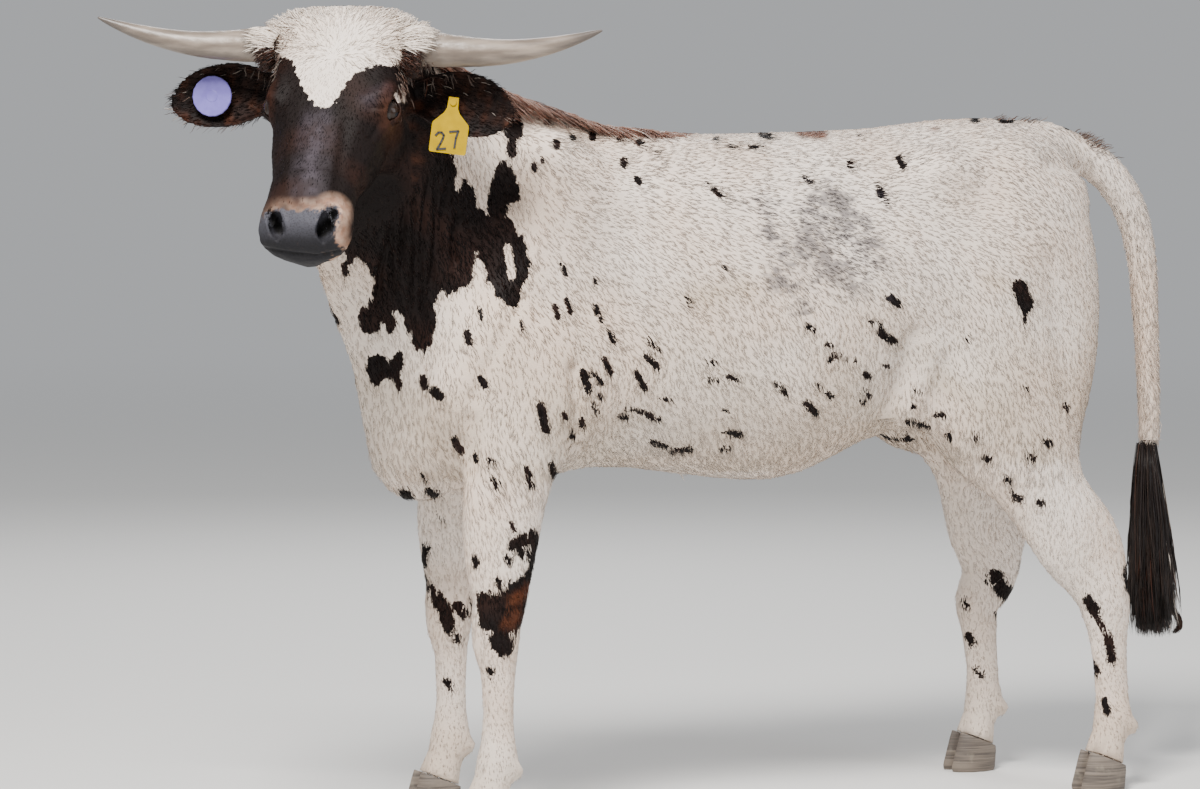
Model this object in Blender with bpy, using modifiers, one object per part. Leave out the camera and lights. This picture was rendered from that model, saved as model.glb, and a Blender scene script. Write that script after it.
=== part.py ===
"""A young Texas longhorn cow, life size, standing with its head turned to its left.

The animal faces -X and its left side faces -Y. The flesh is modelled whole, as overlapping lofts
and muscles that are remeshed into one surface, and is then parted by thin cuts into its nodes.
Lengths are in metres.
"""

import math
import random

import bmesh
import bpy
from mathutils import Matrix, Quaternion, Vector
from mathutils.bvhtree import BVHTree

# Driving dimensions
WITHERS = 1.168          # height of the back over the shoulders
HIP = 1.190              # height of the back over the hips
GAP = 0.0003             # clearance between touching nodes
HALF_GAP = GAP / 2
VOXEL = 0.005            # grain of the remeshed flesh
MIDDLE = Vector((-0.0855, -0.098, 0.0))   # the middle of the box, moved to the origin at the end

# How much of the remeshed flesh each group of nodes keeps
DETAIL = {"head": 0.024, "neck": 0.015, "torso": 0.0080, "legs": 0.0155, "tail": 0.014}

# The head: its poll, the way the face points, and its length
POLL = Vector((-0.760, -0.153, 1.330))
HEAD_YAW = math.radians(52)      # turned from -X towards -Y
HEAD_PITCH = math.radians(50)    # the face slopes down
HEAD_ROLL = math.radians(-2.8)
HEAD_LENGTH = 0.420

EYE_RADIUS = 0.0205
EYE_AT = Vector((0.148, 0.0890, -0.041))       # on the left, in the head's frame
LID = 0.0042             # thickness of the lids over the eyeball
HORN_ROOT = Vector((0.018, 0.100, -0.036))
HORN_REACH = {1: 0.425, -1: 0.398}      # from the head's midline to the left and right tips
HORN_BASE_RADIUS = 0.030
EAR_ROOT = {1: Vector((0.065, 0.086, -0.099)), -1: Vector((0.060, 0.090, -0.099))}
EAR_LENGTH = {1: 0.186, -1: 0.208}
EAR_WALL = 0.0045
TAG_ALONG = {1: 0.475, -1: 0.655}     # share of an ear's length at which its tag is pinned

# Feet: where each stands, with the left side at a negative Y
FRONT_LEFT = Vector((-0.498, -0.145, 0))
FRONT_RIGHT = Vector((-0.462, 0.140, 0))
HIND_LEFT = Vector((0.690, -0.150, 0))
HIND_RIGHT = Vector((0.600, 0.145, 0))
CORONET = 0.058          # height of the top of a hoof at its middle
CORONET_SLOPE = math.radians(22)
CLAW_SIDES = 10
GOLDEN_TURN = math.radians(137.5)         # turn from one lock to the next
TOE = -0.020             # from a foot's middle to its hoof's middle
FRONT_KNEE = 0.335
HOCK_POINT = 0.437


def clear_scene():
    """Removes the startup scene's objects."""
    for obj in list(bpy.data.objects):
        bpy.data.objects.remove(obj)


def new_collection(name):
    made = bpy.data.collections.new(name)
    bpy.context.scene.collection.children.link(made)
    return made


def face_out(bm):
    """Turns a closed bmesh's faces so that they all face out."""
    bm.normal_update()
    bmesh.ops.recalc_face_normals(bm, faces=bm.faces)
    if bm.calc_volume(signed=True) < 0:
        bmesh.ops.reverse_faces(bm, faces=bm.faces)


def object_from(bm, name, collection):
    """An object made from a bmesh, with its normals facing out."""
    face_out(bm)
    mesh = bpy.data.meshes.new(name)
    bm.to_mesh(mesh)
    bm.free()
    made = bpy.data.objects.new(name, mesh)
    collection.objects.link(made)
    return made


def head_matrix():
    """Turns the head's frame, x to the nose, y to its left and z off the forehead, into the world."""
    face = Vector((-math.cos(HEAD_YAW) * math.cos(HEAD_PITCH),
                   -math.sin(HEAD_YAW) * math.cos(HEAD_PITCH),
                   -math.sin(HEAD_PITCH)))
    crown = Vector((-math.cos(HEAD_YAW) * math.sin(HEAD_PITCH),
                    -math.sin(HEAD_YAW) * math.sin(HEAD_PITCH),
                    math.cos(HEAD_PITCH)))
    left = crown.cross(face)
    turned = Matrix((face, left, crown)).transposed()
    turned = turned @ Matrix.Rotation(HEAD_ROLL, 3, "X")
    return Matrix.Translation(POLL) @ turned.to_4x4()


HEAD = head_matrix()


def between(a, b, t):
    return a + (b - a) * t


def smooth_rows(rows, steps):
    """Rows of numbers blended by a Catmull-Rom spline, so that a few stations make a smooth loft."""
    made = []
    last = len(rows) - 1
    for i in range(last):
        p0, p1, p2, p3 = rows[max(i - 1, 0)], rows[i], rows[i + 1], rows[min(i + 2, last)]
        for k in range(steps):
            t = k / steps
            made.append([0.5 * (2 * b + (c - a) * t + (2 * a - 5 * b + 4 * c - d) * t * t
                                + (3 * b - a - 3 * c + d) * t ** 3)
                         for a, b, c, d in zip(p0, p1, p2, p3)])
    made.append(list(rows[last]))
    return made


def closed_spline(points, count):
    """Points evenly spaced in parameter on a closed Catmull-Rom curve through the given ones."""
    n = len(points)
    made = []
    for k in range(count):
        u = k * n / count
        i = int(u)
        t = u - i
        a, b, c, d = (points[(i + j) % n] for j in (-1, 0, 1, 2))
        made.append(0.5 * (2 * b + (c - a) * t + (2 * a - 5 * b + 4 * c - d) * t * t
                           + (3 * b - a - 3 * c + d) * t ** 3))
    return made


def loft(rings):
    """A closed bmesh through rings of the same count, each end closed by a fan."""
    bm = bmesh.new()
    loops = [[bm.verts.new(p) for p in ring] for ring in rings]
    count = len(loops[0])
    for first, second in zip(loops, loops[1:]):
        for k in range(count):
            bm.faces.new((first[k], first[(k + 1) % count], second[(k + 1) % count], second[k]))
    for ring in (loops[0], loops[-1]):
        hub = bm.verts.new(sum((v.co for v in ring), Vector()) / count)
        for k in range(count):
            bm.faces.new((ring[k], ring[(k + 1) % count], hub))
    return bm


def oval(centre, side, up, half_width, above, below, sides=28, power=2.2):
    """A ring round a centre: a superellipse with its own height above and below the widest line."""
    ring = []
    for k in range(sides):
        angle = 2 * math.pi * k / sides
        c, s = math.cos(angle), math.sin(angle)
        across = math.copysign(abs(c) ** (2 / power), c) * half_width
        height = math.copysign(abs(s) ** (2 / power), s) * (above if s > 0 else below)
        ring.append(centre + side * across + up * height)
    return ring


def tube(stations, up_hint, steps=4, sides=24, power=2.0):
    """A loft along stations of x, y, z, half width, half height; its height lies towards up_hint."""
    rows = smooth_rows(stations, steps)
    centres = [Vector(r[:3]) for r in rows]
    rings = []
    for i, row in enumerate(rows):
        ahead = centres[min(i + 1, len(rows) - 1)] - centres[max(i - 1, 0)]
        side = ahead.cross(up_hint).normalized()
        up = side.cross(ahead).normalized()
        rings.append(oval(centres[i], side, up, row[3], row[4], row[4], sides, power))
    return loft(rings)


def ellipsoid(centre, radii, turn=(0, 0, 0)):
    """A muscle or a bony point: a sphere stretched to its radii and turned by degrees about X, Y and Z."""
    bm = bmesh.new()
    bmesh.ops.create_uvsphere(bm, u_segments=24, v_segments=14, radius=1)
    spin = Matrix.Identity(4)
    for degrees, axis in zip(turn, "XYZ"):
        spin = Matrix.Rotation(math.radians(degrees), 4, axis) @ spin
    bm.transform(Matrix.Translation(centre) @ spin @ Matrix.Diagonal((*radii, 1)))
    return bm


def torso_clay():
    """Stations down the body: x, top, bottom, half width, height of the widest line."""
    stations = (
        (-0.640, 0.900, 0.640, 0.060, 0.760),
        (-0.590, 0.985, 0.578, 0.115, 0.770),
        (-0.500, 1.090, 0.553, 0.158, 0.790),
        (-0.400, 1.150, 0.562, 0.176, 0.830),
        (-0.290, 1.168, 0.590, 0.190, 0.840),
        (-0.170, WITHERS, 0.584, 0.212, 0.850),
        (-0.040, 1.161, 0.566, 0.230, 0.850),
        (0.080, 1.163, 0.560, 0.236, 0.850),
        (0.190, 1.166, 0.598, 0.226, 0.870),
        (0.290, 1.172, 0.652, 0.206, 0.900),
        (0.380, 1.183, 0.700, 0.192, 0.930),
        (0.465, HIP, 0.720, 0.180, 0.950),
        (0.550, 1.186, 0.760, 0.158, 0.960),
        (0.620, 1.165, 0.840, 0.118, 0.980),
        (0.662, 1.110, 0.900, 0.066, 1.000),
    )
    rings = []
    for x, top, bottom, half, wide in smooth_rows(stations, 4):
        rings.append(oval(Vector((x, 0, wide)), Vector((0, 1, 0)), Vector((0, 0, 1)),
                          half, top - wide, wide - bottom, 40, 2.25))
    return loft(rings)


def muscle_clay():
    """Shoulders, arms, thighs, hip bones and brisket that stand out of the torso."""
    made = []
    for side in (-1, 1):
        made += [
            ellipsoid((-0.345, side * 0.112, 0.970), (0.120, 0.084, 0.215), (0, -18, 0)),
            ellipsoid((-0.500, side * 0.112, 0.800), (0.092, 0.074, 0.150), (0, 24, 0)),
            ellipsoid((-0.395, side * 0.132, 0.750), (0.140, 0.066, 0.150), (0, 20, 0)),
            ellipsoid((0.450, side * 0.112, 0.900), (0.205, 0.094, 0.265), (0, 12, 0)),
            ellipsoid((0.578, side * 0.098, 0.830), (0.108, 0.084, 0.290), (0, 2, 0)),
            ellipsoid((0.350, side * 0.122, 0.760), (0.115, 0.066, 0.120), (0, -28, 0)),
            ellipsoid((0.345, side * 0.140, 1.092), (0.085, 0.046, 0.048), (0, 8, 0)),
            ellipsoid((0.628, side * 0.068, 1.060), (0.050, 0.040, 0.060), (0, 0, 0)),
        ]
    made += [
        ellipsoid((-0.560, 0, 0.655), (0.105, 0.080, 0.115), (0, 30, 0)),
        ellipsoid((0.250, 0, 0.720), (0.130, 0.165, 0.100), (0, -20, 0)),
        ellipsoid((0.510, 0, 0.735), (0.075, 0.062, 0.060), (0, 0, 0)),
        ellipsoid((0.610, 0, 1.120), (0.090, 0.052, 0.060), (0, 20, 0)),
    ]
    return made


def flank_fold(side):
    """The fold of skin from the stifle to the belly."""
    stations = (
        (0.110, side * 0.120, 0.720, 0.060, 0.080),
        (0.200, side * 0.150, 0.705, 0.040, 0.062),
        (0.290, side * 0.152, 0.700, 0.030, 0.060),
        (0.370, side * 0.148, 0.700, 0.040, 0.080),
        (0.440, side * 0.140, 0.700, 0.050, 0.090),
    )
    return tube(stations, Vector((0, 0, 1)))


def neck_clay():
    """The neck rises from the shoulders and bends to the left, with a dewlap under it."""
    stations = (
        (-0.240, 0.000, 0.930, 0.150, 0.215),
        (-0.390, 0.000, 0.970, 0.136, 0.240),
        (-0.510, -0.012, 1.036, 0.116, 0.222),
        (-0.605, -0.040, 1.112, 0.102, 0.184),
        (-0.672, -0.076, 1.180, 0.094, 0.145),
        (-0.722, -0.112, 1.240, 0.084, 0.110),
    )
    return tube(stations, Vector((0.35, 0.1, 1)), steps=5, sides=32, power=2.1)


def dewlap_clay():
    stations = (
        (-0.705, -0.095, 1.070, 0.032, 0.074),
        (-0.700, -0.066, 0.970, 0.028, 0.088),
        (-0.670, -0.032, 0.875, 0.028, 0.084),
        (-0.628, -0.012, 0.785, 0.034, 0.080),
        (-0.605, 0.000, 0.705, 0.044, 0.082),
        (-0.575, 0.000, 0.635, 0.052, 0.078),
        (-0.525, 0.000, 0.590, 0.050, 0.050),
    )
    return tube(stations, Vector((-1, 0, 0.3)), steps=4)


def head_clay():
    """Stations down the face: x, top, then the brow, cheek and jaw as y and z, and the bottom."""
    stations = (
        (-0.045, -0.060, 0.045, -0.068, 0.066, -0.100, 0.048, -0.140, -0.150),
        (-0.015, -0.022, 0.072, -0.030, 0.092, -0.075, 0.066, -0.150, -0.178),
        (0.020, 0.002, 0.086, -0.010, 0.103, -0.058, 0.074, -0.152, -0.195),
        (0.070, 0.010, 0.084, -0.004, 0.103, -0.052, 0.080, -0.155, -0.207),
        (0.130, 0.008, 0.084, -0.010, 0.104, -0.052, 0.080, -0.155, -0.206),
        (0.185, 0.001, 0.068, -0.012, 0.092, -0.060, 0.069, -0.148, -0.190),
        (0.240, -0.003, 0.056, -0.014, 0.086, -0.060, 0.060, -0.130, -0.164),
        (0.290, -0.003, 0.047, -0.012, 0.073, -0.055, 0.048, -0.110, -0.138),
        (0.338, -0.004, 0.046, -0.012, 0.070, -0.050, 0.047, -0.096, -0.122),
        (0.376, -0.009, 0.049, -0.016, 0.075, -0.050, 0.054, -0.094, -0.118),
        (0.403, -0.019, 0.050, -0.026, 0.074, -0.056, 0.053, -0.094, -0.112),
        (0.422, -0.034, 0.045, -0.040, 0.061, -0.062, 0.042, -0.090, -0.102),
        (0.430, -0.052, 0.026, -0.056, 0.036, -0.067, 0.024, -0.080, -0.086),
    )
    scale = HEAD_LENGTH / stations[-1][0]
    rings = []
    for x, top, y1, z1, y2, z2, y3, z3, bottom in smooth_rows(stations, 3):
        x *= scale
        half = [Vector((x, y1, z1)), Vector((x, y2, z2)), Vector((x, y3, z3))]
        other = [Vector((p.x, -p.y, p.z)) for p in reversed(half)]
        keys = [Vector((x, 0, top)), *half, Vector((x, 0, bottom)), *other]
        rings.append(closed_spline(keys, 40))
    made = [loft(rings)]
    for side in (-1, 1):
        made += [
            ellipsoid((0.132, side * 0.080, -0.018), (0.042, 0.024, 0.018), (0, 0, side * 10)),
            ellipsoid((EYE_AT.x, side * 0.082, EYE_AT.z), (0.036, 0.026, 0.028), (0, 0, 0)),
            ellipsoid((0.188, side * 0.078, -0.074), (0.062, 0.016, 0.022), (0, 0, side * -14)),
            ellipsoid((0.118, side * 0.070, -0.128), (0.070, 0.030, 0.062), (0, 0, 0)),
            ellipsoid((0.012, side * 0.105, -0.040), (0.038, 0.048, 0.034), (0, 0, 0)),
            ellipsoid((0.074, side * 0.082, -0.108), (0.034, 0.028, 0.034), (0, 0, 0)),
            ellipsoid((0.380, side * 0.044, -0.034), (0.028, 0.022, 0.020), (0, 25, 0)),
        ]
    made += [
        ellipsoid((0.006, 0, -0.014), (0.050, 0.112, 0.032), (0, 0, 0)),
        ellipsoid((0.374, 0, -0.102), (0.038, 0.036, 0.018), (0, 14, 0)),
    ]
    for bm in made:
        bm.transform(HEAD)
    return made


def foreleg_clay(foot, side):
    """Elbow to coronet: x, y, z, half width across, half depth fore and aft."""
    x, y = foot.x, foot.y
    elbow_x, elbow_y = x + 0.045, side * 0.138
    stations = (
        (elbow_x + 0.010, elbow_y, 0.740, 0.052, 0.090),
        (elbow_x - 0.008, elbow_y, 0.640, 0.053, 0.090),
        (x + 0.018, between(elbow_y, y, 0.5), 0.550, 0.047, 0.077),
        (x + 0.010, between(elbow_y, y, 0.8), 0.455, 0.039, 0.062),
        (x + 0.009, y, 0.392, 0.034, 0.049),
        (x + 0.003, y, FRONT_KNEE + 0.020, 0.037, 0.044),
        (x + 0.003, y, FRONT_KNEE - 0.022, 0.035, 0.041),
        (x + 0.006, y, FRONT_KNEE - 0.060, 0.027, 0.032),
        (x + 0.006, y, 0.210, 0.0235, 0.028),
        (x + 0.006, y, 0.160, 0.026, 0.031),
        (x + 0.004, y, 0.130, 0.033, 0.036),
        (x - 0.004, y, 0.098, 0.031, 0.032),
        (x - 0.014, y, 0.068, 0.036, 0.037),
        (x - 0.019, y, 0.045, 0.037, 0.040),
        (x - 0.022, y, 0.022, 0.036, 0.041),
    )
    return tube(stations, Vector((1, 0, 0)))


def hindleg_clay(foot, side, upper):
    """Thigh to coronet; the upper stations are the leg's own, as x, z and half depth."""
    x, y = foot.x, foot.y
    widths = (0.072, 0.070, 0.062, 0.052, 0.043, 0.036, 0.032, 0.033)
    stations = []
    for i, ((ux, z, depth), width) in enumerate(zip(upper, widths)):
        across = between(side * 0.130, y, min(1, i / 5))
        stations.append((ux, across, z, width, depth))
    stations += [
        (x - 0.014, y, 0.310, 0.029, 0.048),
        (x - 0.010, y, 0.262, 0.0245, 0.038),
        (x - 0.004, y, 0.200, 0.0225, 0.034),
        (x - 0.001, y, 0.158, 0.026, 0.034),
        (x + 0.000, y, 0.128, 0.032, 0.037),
        (x - 0.008, y, 0.098, 0.030, 0.032),
        (x - 0.016, y, 0.068, 0.035, 0.037),
        (x - 0.020, y, 0.045, 0.036, 0.040),
        (x - 0.022, y, 0.022, 0.035, 0.041),
    ]
    made = [tube(stations, Vector((1, 0, 0)))]
    point = upper[5][0] + upper[5][2] - 0.012
    made.append(ellipsoid((point, y, HOCK_POINT), (0.022, 0.020, 0.034), (0, -20, 0)))
    return made


UPPER_HIND_LEFT = (
    (0.450, 0.780, 0.165), (0.470, 0.700, 0.170), (0.497, 0.640, 0.150), (0.527, 0.580, 0.112),
    (0.552, 0.530, 0.085), (0.612, 0.447, 0.084), (0.644, 0.400, 0.074), (0.666, 0.350, 0.055))
UPPER_HIND_RIGHT = (
    (0.460, 0.780, 0.165), (0.480, 0.700, 0.150), (0.530, 0.640, 0.100), (0.560, 0.580, 0.082),
    (0.578, 0.530, 0.076), (0.602, 0.447, 0.080), (0.612, 0.400, 0.072), (0.610, 0.350, 0.058))


def dewclaw_clay(foot):
    """The two small claws behind each fetlock."""
    return [ellipsoid((foot.x + 0.034, foot.y + side * 0.017, 0.110), (0.014, 0.012, 0.018),
                      (0, 25, 0)) for side in (-1, 1)]


TAIL = (
    (0.560, 0, 1.140, 0.050, 0.050),
    (0.640, 0, 1.148, 0.044, 0.044),
    (0.705, 0, 1.122, 0.037, 0.040),
    (0.765, 0, 1.084, 0.033, 0.038),
    (0.814, 0, 1.022, 0.031, 0.034),
    (0.838, 0, 0.940, 0.029, 0.030),
    (0.848, 0, 0.840, 0.027, 0.027),
    (0.854, 0, 0.740, 0.025, 0.025),
    (0.858, 0, 0.640, 0.023, 0.023),
    (0.858, 0, 0.560, 0.022, 0.022),
)


def tail_clay():
    return tube(TAIL, Vector((1, 0, 0.4)))


def flesh_clay():
    """Every piece of the body's flesh, overlapping."""
    made = [torso_clay(), neck_clay(), dewlap_clay(), tail_clay()]
    made += muscle_clay() + head_clay()
    made += [flank_fold(-1), flank_fold(1)]
    for foot, side in ((FRONT_LEFT, -1), (FRONT_RIGHT, 1)):
        made.append(foreleg_clay(foot, side))
        made += dewclaw_clay(foot)
    for foot, side, upper in ((HIND_LEFT, -1, UPPER_HIND_LEFT), (HIND_RIGHT, 1, UPPER_HIND_RIGHT)):
        made += hindleg_clay(foot, side, upper)
        made += dewclaw_clay(foot)
    return made


def apply_modifiers(obj):
    """Replaces an object's mesh with what its modifiers make of it."""
    bpy.context.view_layer.update()
    graph = bpy.context.evaluated_depsgraph_get()
    mesh = bpy.data.meshes.new_from_object(obj.evaluated_get(graph))
    obj.modifiers.clear()
    obj.data = mesh


def merged(pieces, name, collection):
    """One object holding several closed bmeshes, overlapping."""
    joined = bmesh.new()
    for bm in pieces:
        face_out(bm)
        part = bpy.data.meshes.new("clay")
        bm.to_mesh(part)
        bm.free()
        joined.from_mesh(part)
        bpy.data.meshes.remove(part)
    mesh = bpy.data.meshes.new(name)
    joined.to_mesh(mesh)
    joined.free()
    made = bpy.data.objects.new(name, mesh)
    collection.objects.link(made)
    return made


def body_share(point):
    """How far a point of flesh belongs to the body, which is smoothed more than head and legs."""
    cut_point, cut_normal = HEAD_CUT
    behind_head = -(point - Vector(cut_point)).dot(Vector(cut_normal).normalized()) / 0.12
    above_legs = (point.z - 0.50) / 0.14
    before_tail = (0.76 - point.x) / 0.08
    return max(0.0, min(1.0, behind_head, above_legs, before_tail))


def flesh_whole(collection):
    """The clay remeshed into one smooth surface."""
    flesh = merged(flesh_clay(), "flesh", collection)
    grain = flesh.modifiers.new("grain", "REMESH")
    grain.mode = "VOXEL"
    grain.voxel_size = VOXEL
    apply_modifiers(flesh)
    group = flesh.vertex_groups.new(name="body")
    for vertex in flesh.data.vertices:
        share = body_share(vertex.co)
        if share > 0:
            group.add([vertex.index], share, "REPLACE")
    for name, rounds, limit in (("soft", 14, ""), ("softer", 170, "body")):
        soft = flesh.modifiers.new(name, "SMOOTH")
        soft.factor = 0.8
        soft.iterations = rounds
        soft.vertex_group = limit
    apply_modifiers(flesh)
    return flesh


def thinned(flesh, ratio):
    """A copy of the flesh with fewer triangles."""
    copy = flesh.copy()
    copy.data = flesh.data.copy()
    bpy.context.scene.collection.objects.link(copy)
    fewer = copy.modifiers.new("fewer", "DECIMATE")
    fewer.ratio = ratio
    apply_modifiers(copy)
    return copy


def region(planes, room=0.0):
    """The space inside planes, each a point and a normal that faces in, grown by some room."""
    bm = bmesh.new()
    bmesh.ops.create_cube(bm, size=4)
    for point, normal in planes:
        normal = Vector(normal).normalized()
        point = Vector(point) - normal * room
        geometry = bm.verts[:] + bm.edges[:] + bm.faces[:]
        cut = bmesh.ops.bisect_plane(bm, geom=geometry, plane_co=point, plane_no=normal,
                                     clear_inner=True)
        rim = [e for e in cut["geom_cut"] if isinstance(e, bmesh.types.BMEdge)]
        bmesh.ops.edgeloop_fill(bm, edges=rim)
    return bm


def boolean(obj, tool, operation, solver="EXACT"):
    """Joins a tool to an object, or cuts with it, and removes the tool."""
    cut = obj.modifiers.new("cut", "BOOLEAN")
    cut.operation = operation
    cut.object = tool
    cut.solver = solver
    apply_modifiers(obj)
    bpy.data.objects.remove(tool)


def largest_body(obj):
    """Keeps only the largest closed surface of an object."""
    bm = bmesh.new()
    bm.from_mesh(obj.data)
    left = set(bm.verts)
    best = set()
    while left:
        start = left.pop()
        island, edge = {start}, [start]
        while edge:
            v = edge.pop()
            for e in v.link_edges:
                other = e.other_vert(v)
                if other not in island:
                    island.add(other)
                    edge.append(other)
        left -= island
        if len(island) > len(best):
            best = island
    bmesh.ops.delete(bm, geom=[v for v in bm.verts if v not in best], context="VERTS")
    bm.to_mesh(obj.data)
    bm.free()


def coronet(foot):
    """The plane between a leg and its hooves, lower at the heel, as a point and an upward normal."""
    return (foot + Vector((TOE, 0, CORONET)),
            Vector((math.sin(CORONET_SLOPE), 0, math.cos(CORONET_SLOPE))))


HEAD_CUT = ((-0.700, -0.075, 1.125), (-0.605, -0.731, 0.312))
NECK_CUT = ((-0.420, 0, 1.170), (-0.910, 0, 0.410))
NECK_FLOOR = 0.770
ELBOW_CUT = 0.600
STIFLE_CUT = 0.590
TAIL_CUT_X = 0.727
TAIL_MIDDLE = 0.860
TAIL_END = 0.600


def opposite(plane):
    point, normal = plane
    return point, -Vector(normal)


def node_regions():
    """Where each node of flesh, other than the torso, lies: its planes and its detail."""
    regions = {
        "head": ([HEAD_CUT], "head"),
        "neck": ([opposite(HEAD_CUT), NECK_CUT, ((0, 0, NECK_FLOOR), (0, 0, 1))], "neck"),
    }
    legs = (("foreleg_left", FRONT_LEFT, -1, ELBOW_CUT, (-0.66, -0.30)),
            ("foreleg_right", FRONT_RIGHT, 1, ELBOW_CUT, (-0.66, -0.30)),
            ("hindleg_left", HIND_LEFT, -1, STIFLE_CUT, (0.25, 0.80)),
            ("hindleg_right", HIND_RIGHT, 1, STIFLE_CUT, (0.25, 0.80)))
    for name, foot, side, top, (front, back) in legs:
        regions[name] = ([coronet(foot), ((0, 0, top), (0, 0, -1)),
                          ((0, side * 0.055, 0), (0, side, 0)),
                          ((front, 0, 0), (1, 0, 0)), ((back, 0, 0), (-1, 0, 0))], "legs")
    behind = ((TAIL_CUT_X, 0, 0), (1, 0, 0))
    regions["tail_base"] = ([behind, ((0, 0, TAIL_MIDDLE), (0, 0, 1))], "tail")
    regions["tail_middle"] = ([behind, ((0, 0, TAIL_MIDDLE), (0, 0, -1)),
                               ((0, 0, TAIL_END), (0, 0, 1))], "tail")
    return regions


def part_flesh(flesh, collection):
    """Cuts the flesh into its nodes, with a gap at each cut."""
    nodes = {}
    kept = {name: thinned(flesh, ratio) for name, ratio in DETAIL.items()}
    for name, (planes, detail) in node_regions().items():
        node = kept[detail].copy()
        node.data = kept[detail].data.copy()
        collection.objects.link(node)
        boolean(node, object_from(region(planes, -HALF_GAP), "tool", collection), "INTERSECT")
        nodes[name] = node
    torso = kept["torso"].copy()
    torso.data = kept["torso"].data.copy()
    collection.objects.link(torso)
    outside = dict(node_regions())
    outside["tail_end"] = ([((TAIL_CUT_X, 0, 0), (1, 0, 0)), ((0, 0, TAIL_END), (0, 0, -1))], "")
    for name, (planes, _) in outside.items():
        lower = [p for p in planes if p[1][2] <= 0.5 or "leg" not in name]
        boolean(torso, object_from(region(lower, HALF_GAP), "tool", collection), "DIFFERENCE")
    largest_body(torso)
    nodes["torso"] = torso
    for copy in kept.values():
        bpy.data.objects.remove(copy)
    for name, node in nodes.items():
        node.name = name
    return nodes


def lathe(profile, turns=20):
    """A closed body turned about Z from radius and height pairs that start and end on the axis."""
    rings = [[Vector((r * math.cos(a), r * math.sin(a), z))
              for a in (2 * math.pi * k / turns for k in range(turns))]
             for r, z in profile[1:-1]]
    bm = loft(rings)
    return bm


def placed(bm, matrix):
    bm.transform(matrix)
    return bm


def frame(origin, across, outward):
    """A matrix whose z axis faces outward and whose x axis lies near the one given."""
    z = Vector(outward).normalized()
    x = (Vector(across) - z * Vector(across).dot(z)).normalized()
    turned = Matrix((x, z.cross(x), z)).transposed().to_4x4()
    return Matrix.Translation(Vector(origin)) @ turned


def mirrored(point, side):
    """A point of the head's left side, moved to the side asked for: 1 is left."""
    return Vector((point[0], point[1] * side, point[2]))


def grown(obj, room, collection):
    """A copy of an object moved out along its normals, for cutting what touches it."""
    copy = obj.copy()
    copy.data = obj.data.copy()
    collection.objects.link(copy)
    push = copy.modifiers.new("push", "DISPLACE")
    push.strength = room
    push.mid_level = 0
    apply_modifiers(copy)
    return copy


FORWARD = Vector((math.cos(HEAD_PITCH), 0, math.sin(HEAD_PITCH)))    # level, in the head's frame
UPWARD = Vector((-math.sin(HEAD_PITCH), 0, math.cos(HEAD_PITCH)))    # straight up, likewise


def ear_shape(side):
    """A cupped leaf: outer and inner arcs joined along the ear's length."""
    axis = Vector((0.03, 0.985, -0.060)).normalized()
    widths = ((0.00, 0.024, 0.026), (0.12, 0.027, 0.030), (0.28, 0.041, 0.032), (0.45, 0.051, 0.026),
              (0.62, 0.053, 0.020), (0.78, 0.047, 0.014), (0.90, 0.034, 0.009), (0.97, 0.019, 0.006),
              (1.00, 0.008, 0.004))
    opening = (FORWARD + Vector((0, 0.10, 0.10))).normalized()
    opening = (opening - axis * opening.dot(axis)).normalized()
    up = UPWARD - axis * UPWARD.dot(axis) - opening * UPWARD.dot(opening)
    up.normalize()
    rings = []
    for t, width, depth in smooth_rows(widths, 2):
        centre = EAR_ROOT[side] + axis * (t * EAR_LENGTH[side]) - UPWARD * (0.012 * t * t)
        wall = min(EAR_WALL, width * 0.45, depth * 0.6)
        ring = []
        for k in range(8):
            a = math.radians(-84 + 168 * k / 7)
            ring.append(centre + up * (width * math.sin(a)) - opening * (depth * math.cos(a)))
        for k in range(8):
            a = math.radians(84 - 168 * k / 7)
            ring.append(centre + up * ((width - wall) * math.sin(a))
                        - opening * ((depth - wall) * math.cos(a)))
        rings.append([mirrored(p, side) for p in ring])
    return placed(loft(rings), HEAD)


def horn_shape(side):
    """Stations along a horn: how far out, forward and up, and the radius."""
    out = HORN_REACH[side] - HORN_ROOT.y
    stations = (
        (0.00, 0.000, 0.000, 1.00), (0.16, 0.000, -0.003, 0.98), (0.34, 0.006, -0.005, 0.86),
        (0.52, 0.016, -0.003, 0.72), (0.70, 0.028, 0.006, 0.55), (0.84, 0.038, 0.017, 0.38),
        (0.95, 0.046, 0.028, 0.20), (1.00, 0.050, 0.034, 0.07),
    )
    rows = smooth_rows(stations, 2)
    centres = [HORN_ROOT + Vector((0, out * a, 0)) + FORWARD * b + UPWARD * c for a, b, c, _ in rows]
    rings = []
    for i, row in enumerate(rows):
        ahead = centres[min(i + 1, len(rows) - 1)] - centres[max(i - 1, 0)]
        side_way = ahead.cross(UPWARD).normalized()
        up = side_way.cross(ahead).normalized()
        radius = HORN_BASE_RADIUS * row[3]
        ring = oval(centres[i], side_way, up, radius, radius * 0.96, radius * 0.96, 12, 2.0)
        rings.append([mirrored(p, side) for p in ring])
    return placed(loft(rings), HEAD)


def ball(centre, radius, segments, rings):
    bm = bmesh.new()
    bmesh.ops.create_uvsphere(bm, u_segments=segments, v_segments=rings, radius=radius)
    bm.transform(Matrix.Translation(centre))
    return bm


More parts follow.
